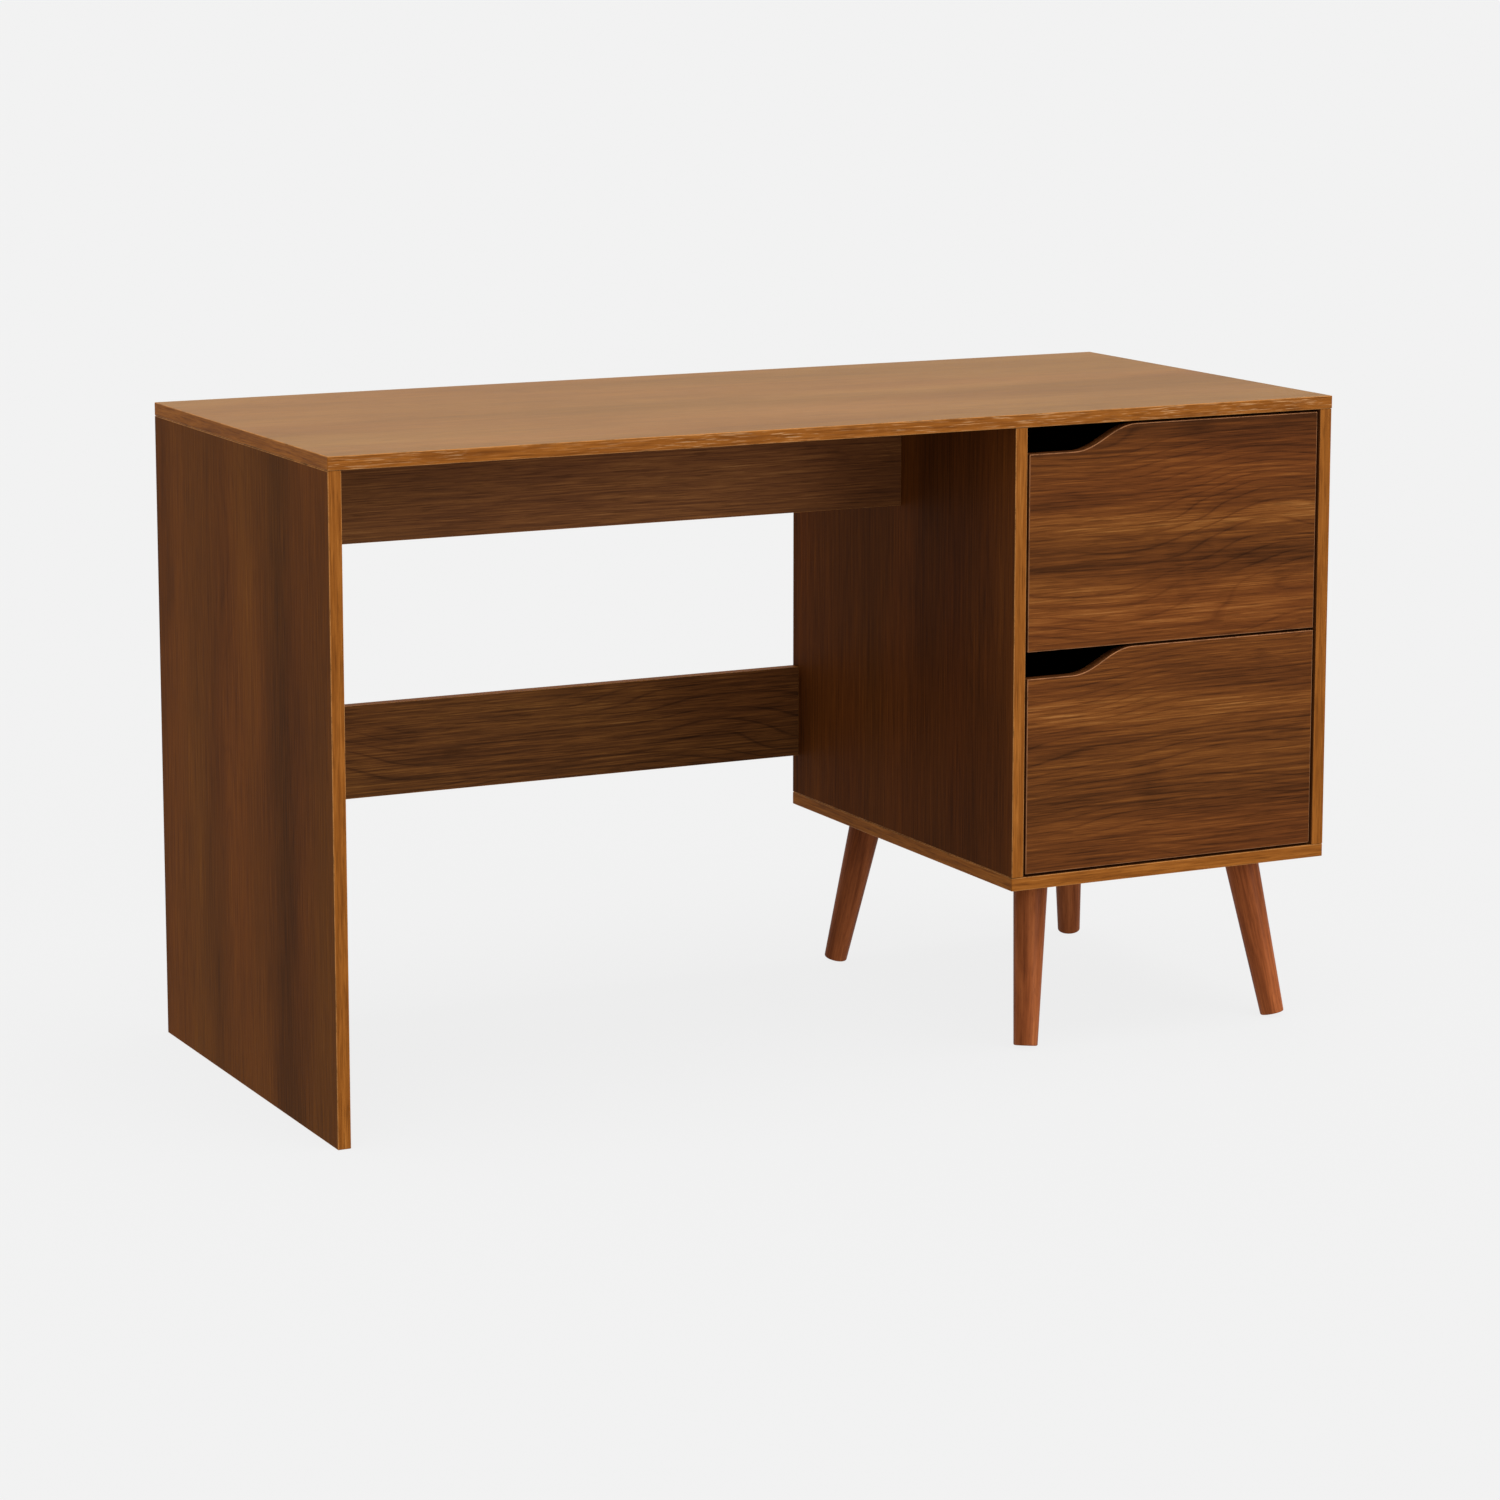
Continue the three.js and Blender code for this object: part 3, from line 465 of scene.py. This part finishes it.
def hardboard(name, seed):
    """Thin pressed fibreboard with a brown printed face and a felted texture."""
    graph = Graph(name)
    point = graph.place(seed_offset(seed))
    fibres = graph.noise(point, 480, 6, 0.78, 1.2)
    clouds = graph.noise(point, 60, 4, 0.6)
    specks = graph.noise(point, 1300, 2, 0.5)
    tone = graph.total(0.5, graph.swing(fibres, 1.1), graph.swing(clouds, 0.2))
    browns = [(0.2, srgb(66, 42, 24)), (0.5, srgb(92, 61, 37)), (0.8, srgb(118, 83, 52))]
    colour = graph.ramp(tone, browns)
    colour = graph.mix(graph.ramp(specks, [(0.62, 0.0), (0.72, 0.5)]), colour, srgb(38, 24, 14))
    return graph.finish(
        Base_Color=colour,
        Roughness=graph.span(fibres, 0.66, 0.88),
        Specular_IOR_Level=0.1,
        Normal=graph.bump(fibres, 0.0002, 0.45),
    )


# ---------------------------------------------------------------- metal and plastic finishes


def zinc_plate(name, colour, gloss, seed):
    """Bright-plated steel: faint rolling lines, clouded plating and small scuffs."""
    graph = Graph(name)
    point = graph.place(seed_offset(seed))
    rolled = graph.noise(graph.scaled(point, along("y", 0.03)), 900, 3, 0.6)
    clouds = graph.noise(point, 110, 4, 0.6)
    scuffs = graph.noise(graph.scaled(point, (1.0, 0.2, 1.0)), 230, 6, 0.8, 1.5)
    dull = tuple(level * 0.72 for level in colour)
    tone = graph.total(0.5, graph.swing(clouds, 0.7), graph.swing(rolled, 0.5))
    shade = graph.ramp(tone, [(0.25, dull), (0.7, colour)])
    marks = graph.ramp(scuffs, [(0.62, 0.0), (0.70, 0.35)])
    rough = graph.total(graph.span(clouds, gloss, gloss + 0.16), graph.math("MULTIPLY", marks, 0.5))
    return graph.finish(
        Base_Color=graph.mix(marks, shade, dull),
        Metallic=1.0,
        Roughness=rough,
        Normal=graph.bump(graph.total(rolled, scuffs), 0.00004, 0.25),
    )


def moulded_nylon(name, seed):
    """Off-white nylon with a faint mould texture, greyed where it runs."""
    graph = Graph(name)
    point = graph.place(seed_offset(seed))
    mould = graph.noise(point, 1500, 3, 0.6)
    grime = graph.noise(point, 160, 3, 0.6)
    colour = graph.ramp(grime, [(0.36, srgb(186, 181, 168)), (0.6, srgb(226, 222, 211))])
    return graph.finish(
        Base_Color=colour,
        Roughness=graph.span(grime, 0.38, 0.55),
        Subsurface_Weight=0.15,
        Subsurface_Radius=(0.002, 0.002, 0.0015),
        Normal=graph.bump(mould, 0.00005, 0.3),
    )


def studio_floor():
    """Plain pale floor that glows softly, as a lit studio sweep does."""
    graph = Graph("studio_floor")
    speckle = graph.noise(graph.place(), 40, 3, 0.6)
    grey = graph.span(speckle, FLOOR_ALBEDO * 0.98, FLOOR_ALBEDO * 1.02)
    return graph.finish(
        Base_Color=graph.node("ShaderNodeCombineColor", {0: grey, 1: grey, 2: grey}).outputs[0],
        Roughness=1.0,
        Specular_IOR_Level=0.0,
        Emission_Color=(1, 1, 1),
        Emission_Strength=FLOOR_GLOW,
    )


# ---------------------------------------------------------------- meshes


def linked(name, mesh, materials):
    piece = bpy.data.objects.new(name, mesh)
    for material in materials:
        mesh.materials.append(material)
    bpy.context.scene.collection.objects.link(piece)
    return piece


def stands_for(piece, node):
    """The piece takes the CAD node's place and body."""
    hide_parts(node)
    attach(piece, BODY_OF[node])
    return piece


def clean_copy(node):
    """The CAD node's solid with shared corners, and with its flat faces whole again."""
    solid = bmesh.new()
    solid.from_mesh(NODES[node].data)
    bmesh.ops.remove_doubles(solid, verts=solid.verts, dist=SAME_PLACE)
    bmesh.ops.dissolve_limit(
        solid,
        angle_limit=SAME_PLANE,
        verts=solid.verts,
        edges=solid.edges,
        delimit={"NORMAL"},
    )
    return solid


def is_crease(edge):
    return len(edge.link_faces) == 2 and edge.calc_face_angle() > CREASE


def round_arrises(solid, size, segments, shortest):
    long_creases = [
        edge for edge in solid.edges if is_crease(edge) and edge.calc_length() > shortest
    ]
    bmesh.ops.bevel(
        solid,
        geom=long_creases,
        offset=size,
        segments=segments,
        profile=0.5,
        affect="EDGES",
        clamp_overlap=True,
    )


def largest_component(normal):
    return max(abs(component) for component in normal)


def shade(solid):
    """Flat faces stay flat; curved ones and rounded arrises are smooth up to a crease."""
    for face in solid.faces:
        face.smooth = largest_component(face.normal) < FLAT_FACE
    for edge in solid.edges:
        edge.smooth = not is_crease(edge)


def mesh_of(solid, name):
    mesh = bpy.data.meshes.new(name)
    solid.to_mesh(mesh)
    solid.free()
    return mesh


def board_face_index(normal, thickness):
    """0 for a laminated face, 1 to 3 for a band whose grain runs along X to Z, 4 for an arris."""
    across = AXES[thickness]
    if abs(normal[across]) > LAMINATE_FACE:
        return 0
    in_plane = [axis for axis in range(3) if axis != across]
    facing = max(in_plane, key=lambda axis: abs(normal[axis]))
    running = next(axis for axis in in_plane if axis != facing)
    if abs(normal[across]) > ARRIS_TILT:
        return 4
    return 1 + running


def board(node, thickness, laminate, bands, arris_wear_and_highlight):
    """A laminated board with banded edges and rounded arrises, made from the CAD board."""
    solid = clean_copy(node)
    round_arrises(solid, BOARD_ARRIS, ARRIS_SEGMENTS, SHORTEST_ROUNDED_EDGE)
    solid.normal_update()
    for face in solid.faces:
        face.material_index = board_face_index(face.normal, thickness)
    shade(solid)
    piece = linked(f"{node}_board", mesh_of(solid, node), [laminate, *bands, arris_wear_and_highlight])
    return stands_for(piece, node)


def refined(node, material, arris, shortest=SHORTEST_ROUNDED_EDGE):
    """The CAD node's shape with softened edges."""
    solid = clean_copy(node)
    round_arrises(solid, arris, SMALL_ARRIS_SEGMENTS, shortest)
    solid.normal_update()
    shade(solid)
    piece = linked(f"{node}_shape", mesh_of(solid, node), [material])
    return stands_for(piece, node)


def main_direction(node):
    """The direction of a long, round CAD piece's axis, pointing up."""
    points = np.array([vertex.co for vertex in NODES[node].data.vertices])
    direction = np.linalg.svd(points - points.mean(axis=0))[2][0]
    return Vector(direction if direction[2] > 0 else -direction)


def turned_about(profile, axis, facets=ROUND_FACETS):
    """A solid turned from a closed loop of (distance along the axis, radius) points."""
    solid = bmesh.new()
    rings = []
    for distance, radius in profile:
        rings.append([
            solid.verts.new(axis_point(axis, distance, radius, 2 * math.pi * step / facets))
            for step in range(facets)
        ])
    closing = rings[1:] + rings[:1]
    for ring, after in zip(rings, closing):
        for step in range(facets):
            nearby = (step + 1) % facets
            solid.faces.new((ring[step], ring[nearby], after[nearby], after[step]))
    bmesh.ops.recalc_face_normals(solid, faces=solid.faces)
    return solid


def axis_point(axis, distance, radius, angle):
    first, second = [index for index in range(3) if index != AXES[axis]]
    point = [0.0, 0.0, 0.0]
    point[AXES[axis]] = distance
    point[first] = radius * math.cos(angle)
    point[second] = radius * math.sin(angle)
    return point


def roller(node, material):
    """A nylon roller: crowned tyre, recessed web and a raised hub round its bore."""
    low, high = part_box(node)
    centre = (low + high) / 2
    half = (high.x - low.x) / 2
    radius = (high.z - low.z) / 2
    lip = ROLLER_LIP
    bore = ROLLER_BORE_SHARE * radius
    hub = bore + ROLLER_HUB_WALL
    rim = radius - ROLLER_HUB_WALL
    profile = [
        (-half, bore),
        (-half, hub),
        (-half + lip, hub + ROLLER_WEB_SLOPE),
        (-half + lip, rim - ROLLER_WEB_SLOPE),
        (-half, rim),
        (-half, radius - 2 * lip),
        (-half + lip, radius - lip / 2),
        (-half / 3, radius),
        (half / 3, radius),
        (half - lip, radius - lip / 2),
        (half, radius - 2 * lip),
        (half, rim),
        (half - lip, rim - ROLLER_WEB_SLOPE),
        (half - lip, hub + ROLLER_WEB_SLOPE),
        (half, hub),
        (half, bore),
    ]
    solid = turned_about(profile, "x")
    shade(solid)
    piece = linked(f"{node}_tyre", mesh_of(solid, node), [material])
    piece.location = centre
    return stands_for(piece, node)


def leg(node, seed, stain_and_shade_depth):
    """A turned leg, round in section, with its foot and its shoulder softened."""
    direction = main_direction(node)
    solid = clean_copy(node)
    round_arrises(solid, LEG_ARRIS, ARRIS_SEGMENTS, SHORTEST_LEG_EDGE)
    solid.normal_update()
    for face in solid.faces:
        face.smooth = abs(face.normal.dot(direction)) < LEG_END_FACE
    for edge in solid.edges:
        edge.smooth = not is_crease(edge)
    timber = stained_timber(f"{node}_timber", seed, direction, stain_and_shade_depth)
    piece = linked(f"{node}_turning", mesh_of(solid, node), [timber])
    return stands_for(piece, node)


# ---------------------------------------------------------------- screws


def cross_recess(radius, depth):
    """A cutter for a cross recess: two crossed blocks that taper to nothing at the sides."""
    solid = bmesh.new()
    for size in ((radius, RECESS_WIDTH / 2), (RECESS_WIDTH / 2, radius)):
        block = bmesh.ops.create_cube(solid, size=2.0)["verts"]
        bmesh.ops.scale(solid, vec=(*size, depth), verts=block)
    return mesh_of(solid, "recess")


def screw_head_mesh(name, radius, height, dome):
    """A screw head on its own origin, with its axis along Z and its top at +height."""
    profile = [(0.0, TIP_RADIUS), (0.0, radius)]
    for step in range(DOME_STEPS + 1):
        angle = math.pi / 2 * step / DOME_STEPS
        profile.append((
            height * (1 - dome) + height * dome * math.sin(angle),
            radius * (1 - dome * DOME_TAPER * (1 - math.cos(angle))),
        ))
    profile.append((height, TIP_RADIUS))
    solid = turned_about(profile, "z", HEAD_FACETS)
    shade(solid)
    head = linked(f"{name}_blank", mesh_of(solid, name), [])
    recess = cross_recess(radius * RECESS_REACH, height * RECESS_DEPTH)
    cutter = linked(f"{name}_recess", recess, [])
    cutter.location.z = height * RECESS_LIFT
    cut = head.modifiers.new("recess", "BOOLEAN")
    cut.object = cutter
    cut.solver = "EXACT"
    cut.use_self = True
    bpy.context.view_layer.update()
    shaped = head.evaluated_get(bpy.context.evaluated_depsgraph_get())
    mesh = bpy.data.meshes.new_from_object(shaped)
    mesh.name = name
    bpy.data.objects.remove(head)
    bpy.data.objects.remove(cutter)
    return mesh


def screw(name, mesh, place, facing, body, spin=0.0):
    """A screw head set on a surface, facing a direction."""
    piece = bpy.data.objects.new(name, mesh)
    bpy.context.scene.collection.objects.link(piece)
    turn = Vector((0, 0, 1)).rotation_difference(Vector(facing))
    matrix = turn.to_matrix().to_4x4() @ Matrix.Rotation(spin, 4, "Z")
    piece.matrix_world = Matrix.Translation(place) @ matrix
    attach(piece, body)
    return piece


def plate_screws(corner, mesh):
    """Four screws through a leg plate, near its corners."""
    low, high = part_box(f"leg_plate_{corner}")
    middle = (low + high) / 2
    reach = (high.x - low.x) / 2 - PLATE_SCREW_INSET
    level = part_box("cabinet_bottom")[0].z - PLATE_DROP
    for index, (side_x, side_y) in enumerate(((-1, -1), (1, -1), (1, 1), (-1, 1))):
        place = Vector((middle.x + side_x * reach, middle.y + side_y * reach, level))
        name = f"leg_plate_{corner}_screw_{index + 1}"
        screw(name, mesh, place, (0, 0, -1), "frame", spin=0.7 * index)


def shelf_screws(prefix, mesh):
    """Three screws up through a runner's shelf into the underside of the drawer's side."""
    drawer, side = prefix.split("_")
    low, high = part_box(f"{drawer}_drawer_{side}_side")
    member_low, member_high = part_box(f"{prefix}_drawer_member")
    level = low.z - SHELF_DROP
    for index in range(SHELF_SCREWS):
        share = (index + 0.5) / SHELF_SCREWS
        y = member_low.y + share * (member_high.y - member_low.y)
        place = Vector(((low.x + high.x) / 2, y, level))
        name = f"{prefix}_shelf_screw_{index + 1}"
        screw(name, mesh, place, (0, 0, -1), f"{drawer}_drawer", spin=0.5 + index)


def bottom_screws(mesh):
    """Connecting screws up through the cabinet's bottom into its two sides."""
    bottom_low, bottom_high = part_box("cabinet_bottom")
    depth = bottom_high.y - bottom_low.y
    for node in ("cabinet_left_side", "cabinet_right_side"):
        low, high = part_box(node)
        for index, share in enumerate(BOTTOM_SCREW_SHARES):
            y = bottom_low.y + share * depth
            place = Vector(((low.x + high.x) / 2, y, bottom_low.z))
            name = f"{node}_screw_{index + 1}"
            screw(name, mesh, place, (0, 0, -1), "frame", spin=0.3 * index)


# ---------------------------------------------------------------- assembly

OAK_BANDS = [edge_band(f"oak_band_{axis}", axis) for axis in AXES]
FLECKED_BAND = edge_band("flecked_band_x", "x", flecks=0.3)
TOP_BANDS = [FLECKED_BAND, *OAK_BANDS[1:]]
# The drawer fronts' edges take dark walnut bands: partly their banding, partly painted shade on the
# shaded edges and reveals.
WALNUT_SHADE_BANDS = [edge_band(f"walnut_shade_band_{axis}", axis, WALNUT) for axis in AXES]
# The arrises' paler colours are partly wear and partly a painted highlight along each edge.
ARRIS_GOLD_HIGHLIGHT = worn_and_highlit_arris("arris_gold_highlight", srgb(150, 100, 52))
ARRIS_TAN_HIGHLIGHT = worn_and_highlit_arris("arris_tan_highlight", srgb(136, 92, 60))

TOP_PROFILE = [(0.0, 0.50), (0.22, 0.56), (0.42, 0.44), (0.60, 0.55), (0.78, 0.46), (1.0, 0.54)]
PANEL_PROFILE = [
    (0.0, 0.52), (0.16, 0.44), (0.30, 0.36), (0.48, 0.55), (0.70, 0.44), (0.86, 0.56), (1.0, 0.42),
]
UPPER_PROFILE = [
    (0.02, 0.60), (0.16, 0.66), (0.27, 0.62), (0.33, 0.40), (0.41, 0.52),
    (0.52, 0.68), (0.62, 0.44), (0.78, 0.52), (0.92, 0.38),
]
LOWER_PROFILE = [
    (0.04, 0.50), (0.16, 0.60), (0.26, 0.44), (0.44, 0.50), (0.56, 0.46),
    (0.68, 0.68), (0.78, 0.48), (0.95, 0.55),
]


# How deep each leg's stain is, against the usual depth of 1; above 1 is painted shade, below 1
# painted light.
STAIN_AND_SHADE_DEPTHS = {"front_left": 0.95, "front_right": 0.78, "rear_left": 1.2, "rear_right": 1.4}


def extent_of(node, axis):
    low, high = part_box(node)
    return low[AXES[axis]], high[AXES[axis]]


def panel_profile(node, axis, stops):
    return axis, extent_of(node, axis), stops


def add_boards():
    top_finish = walnut_laminate(
        "desktop_laminate",
        "x",
        1.0,
        TOP_LIT_WALNUT,
        panel_profile("desktop", "y", TOP_PROFILE),
        contrast=0.75,
        figure=0.35,
        hue_swing=0.02,
        gloss=0.52,
        sheen=0.1,
    )
    board("desktop", "z", top_finish, TOP_BANDS, ARRIS_GOLD_HIGHLIGHT)
    # Each upright's tint is painted light and shade: the left side panel lighter, the cabinet's left
    # side in the kneehole darker, its right side a little lighter.
    upright_light_and_shade_tints = {
        "left_side_panel": (1.12, 1.14, 0.88),
        "cabinet_left_side": (0.9, 0.81, 0.62),
        "cabinet_right_side": (1.05, 1.08, 1.1),
    }
    for seed, (node, light_and_shade_tint) in enumerate(upright_light_and_shade_tints.items()):
        profile = panel_profile(node, "y", PANEL_PROFILE)
        finish = walnut_laminate(
            f"{node}_laminate",
            "z",
            4.0 + seed,
            profile=profile,
            contrast=0.6,
            figure=0.35,
            light_and_shade_tint=light_and_shade_tint,
        )
        board(node, "x", finish, OAK_BANDS, ARRIS_GOLD_HIGHLIGHT)
    bottom_finish = walnut_laminate("cabinet_bottom_laminate", "x", 9.0)
    board("cabinet_bottom", "z", bottom_finish, OAK_BANDS, ARRIS_GOLD_HIGHLIGHT)
    # Its higher base tone and its tint are painted light: the same walnut, lit up against the shade
    # under the desktop.
    modesty_finish = walnut_laminate(
        "modesty_laminate",
        "x",
        11.0,
        base=0.56,
        contrast=0.85,
        figure=0.25,
        light_and_shade_tint=(1.15, 1.38, 1.95),
    )
    board("modesty_panel", "y", modesty_finish, OAK_BANDS, ARRIS_GOLD_HIGHLIGHT)
    # Its higher base tone and its tint are painted light on the same walnut.
    rail_finish = walnut_laminate("rail_laminate", "x", 13.0, base=0.54, light_and_shade_tint=(1.04, 1.2, 1.4))
    board("rear_rail", "y", rail_finish, OAK_BANDS, ARRIS_GOLD_HIGHLIGHT)
    refined("cabinet_back", hardboard("cabinet_back_board", 2.0), SMALL_ARRIS)


def add_drawers():
    box_finish_x = walnut_laminate("drawer_box_foil_x", "x", 15.0, UMBER, contrast=0.7, sheen=0.03)
    box_finish_y = walnut_laminate("drawer_box_foil_y", "y", 16.0, UMBER, contrast=0.7, sheen=0.03)
    bottom_finish = hardboard("drawer_bottom_board", 6.0)
    for name, seed, stops in (("lower", 21.0, LOWER_PROFILE), ("upper", 24.0, UPPER_PROFILE)):
        front = f"{name}_drawer_front"
        profile = panel_profile(front, "z", stops)
        finish = walnut_laminate(f"{front}_laminate", "x", seed, profile=profile, contrast=0.88)
        board(front, "y", finish, WALNUT_SHADE_BANDS, ARRIS_TAN_HIGHLIGHT)
        refined(f"{name}_drawer_left_side", box_finish_y, BOX_ARRIS)
        refined(f"{name}_drawer_right_side", box_finish_y, BOX_ARRIS)
        refined(f"{name}_drawer_back", box_finish_x, BOX_ARRIS)
        refined(f"{name}_drawer_bottom", bottom_finish, SMALL_ARRIS)


def pan_head(steel):
    mesh = screw_head_mesh("pan_head", SCREW_HEAD_RADIUS, SCREW_HEAD_HEIGHT, 0.7)
    mesh.materials.append(steel)
    return mesh


def add_runners():
    steel = zinc_plate("runner_steel", srgb(196, 199, 204), 0.26, 3.0)
    head = pan_head(steel)
    nylon = moulded_nylon("roller_nylon", 4.0)
    for drawer in ("lower", "upper"):
        for side in ("left", "right"):
            prefix = f"{drawer}_{side}"
            refined(f"{prefix}_cabinet_member", steel, SHEET_METAL_ARRIS)
            refined(f"{prefix}_drawer_member", steel, SHEET_METAL_ARRIS)
            roller(f"{prefix}_front_roller", nylon)
            roller(f"{prefix}_rear_roller", nylon)
            shelf_screws(prefix, head)


def add_legs():
    steel = zinc_plate("plate_steel", srgb(188, 190, 194), 0.3, 7.0)
    head = pan_head(steel)
    for seed, (corner, stain_and_shade_depth) in enumerate(STAIN_AND_SHADE_DEPTHS.items()):
        leg(f"leg_{corner}", 31.0 + seed, stain_and_shade_depth)
        refined(f"leg_plate_{corner}", steel, SHEET_METAL_ARRIS, SHORTEST_FINE_EDGE)
        refined(f"hanger_bolt_{corner}", steel, SMALL_ARRIS)
        plate_screws(corner, head)
    wide_head = screw_head_mesh("connector_head", CONNECTOR_HEAD_RADIUS, CONNECTOR_HEAD_HEIGHT, 0.4)
    wide_head.materials.append(steel)
    bottom_screws(wide_head)


def add_fittings():
    steel = zinc_plate("bolt_steel", srgb(190, 190, 186), 0.3, 8.0)
    alloy = zinc_plate("cam_alloy", srgb(160, 162, 165), 0.4, 9.0)
    beech = bare_wood("dowel_beech", 10.0)
    for node in SLOTS:
        if node.startswith("cam_bolt_"):
            refined(node, steel, SMALL_ARRIS)
        elif node.startswith("cam_"):
            refined(node, alloy, SMALL_ARRIS, SHORTEST_FINE_EDGE)
        elif node.startswith("dowel_"):
            refined(node, beech, SMALL_ARRIS)


# ---------------------------------------------------------------- studio


def add_floor():
    half = FLOOR_HALF_WIDTH
    mesh = bpy.data.meshes.new("studio_floor")
    corners = [(-half, -half, 0), (half, -half, 0), (half, half, 0), (-half, half, 0)]
    mesh.from_pydata(corners, [], [(0, 1, 2, 3)])
    floor = linked("studio_floor", mesh, [studio_floor()])


def add_world():
    world = bpy.data.worlds.new("studio")
    world.use_nodes = True
    background = world.node_tree.nodes["Background"]
    background.inputs["Color"].default_value = (*BACKDROP, 1)
    background.inputs["Strength"].default_value = 1.0
    bpy.context.scene.world = world


def add_sun(name, towards, energy, spread):
    """A broad, soft light that comes from the given direction. Its spread is in degrees."""
    data = bpy.data.lights.new(name, "SUN")
    data.energy = energy
    data.angle = math.radians(spread)
    lamp = bpy.data.objects.new(name, data)
    lamp.rotation_euler = Vector(towards).to_track_quat("Z", "Y").to_euler()
    bpy.context.scene.collection.objects.link(lamp)


def add_camera():
    data = bpy.data.cameras.new("camera")
    data.lens = CAMERA_LENS
    data.sensor_width = CAMERA_SENSOR
    data.shift_y = CAMERA_SHIFT_Y
    camera = bpy.data.objects.new("camera", data)
    camera.location = CAMERA_PLACE
    camera.rotation_euler = (math.pi / 2 - CAMERA_TILT, 0, -CAMERA_TURN)
    bpy.context.scene.collection.objects.link(camera)
    bpy.context.scene.camera = camera


add_boards()
add_drawers()
add_runners()
add_legs()
add_fittings()
add_floor()
add_world()
add_sun("key", **KEY_SUN)
add_sun("overhead", **OVERHEAD_SUN)
add_camera()
bpy.context.scene.view_settings.view_transform = "Standard"
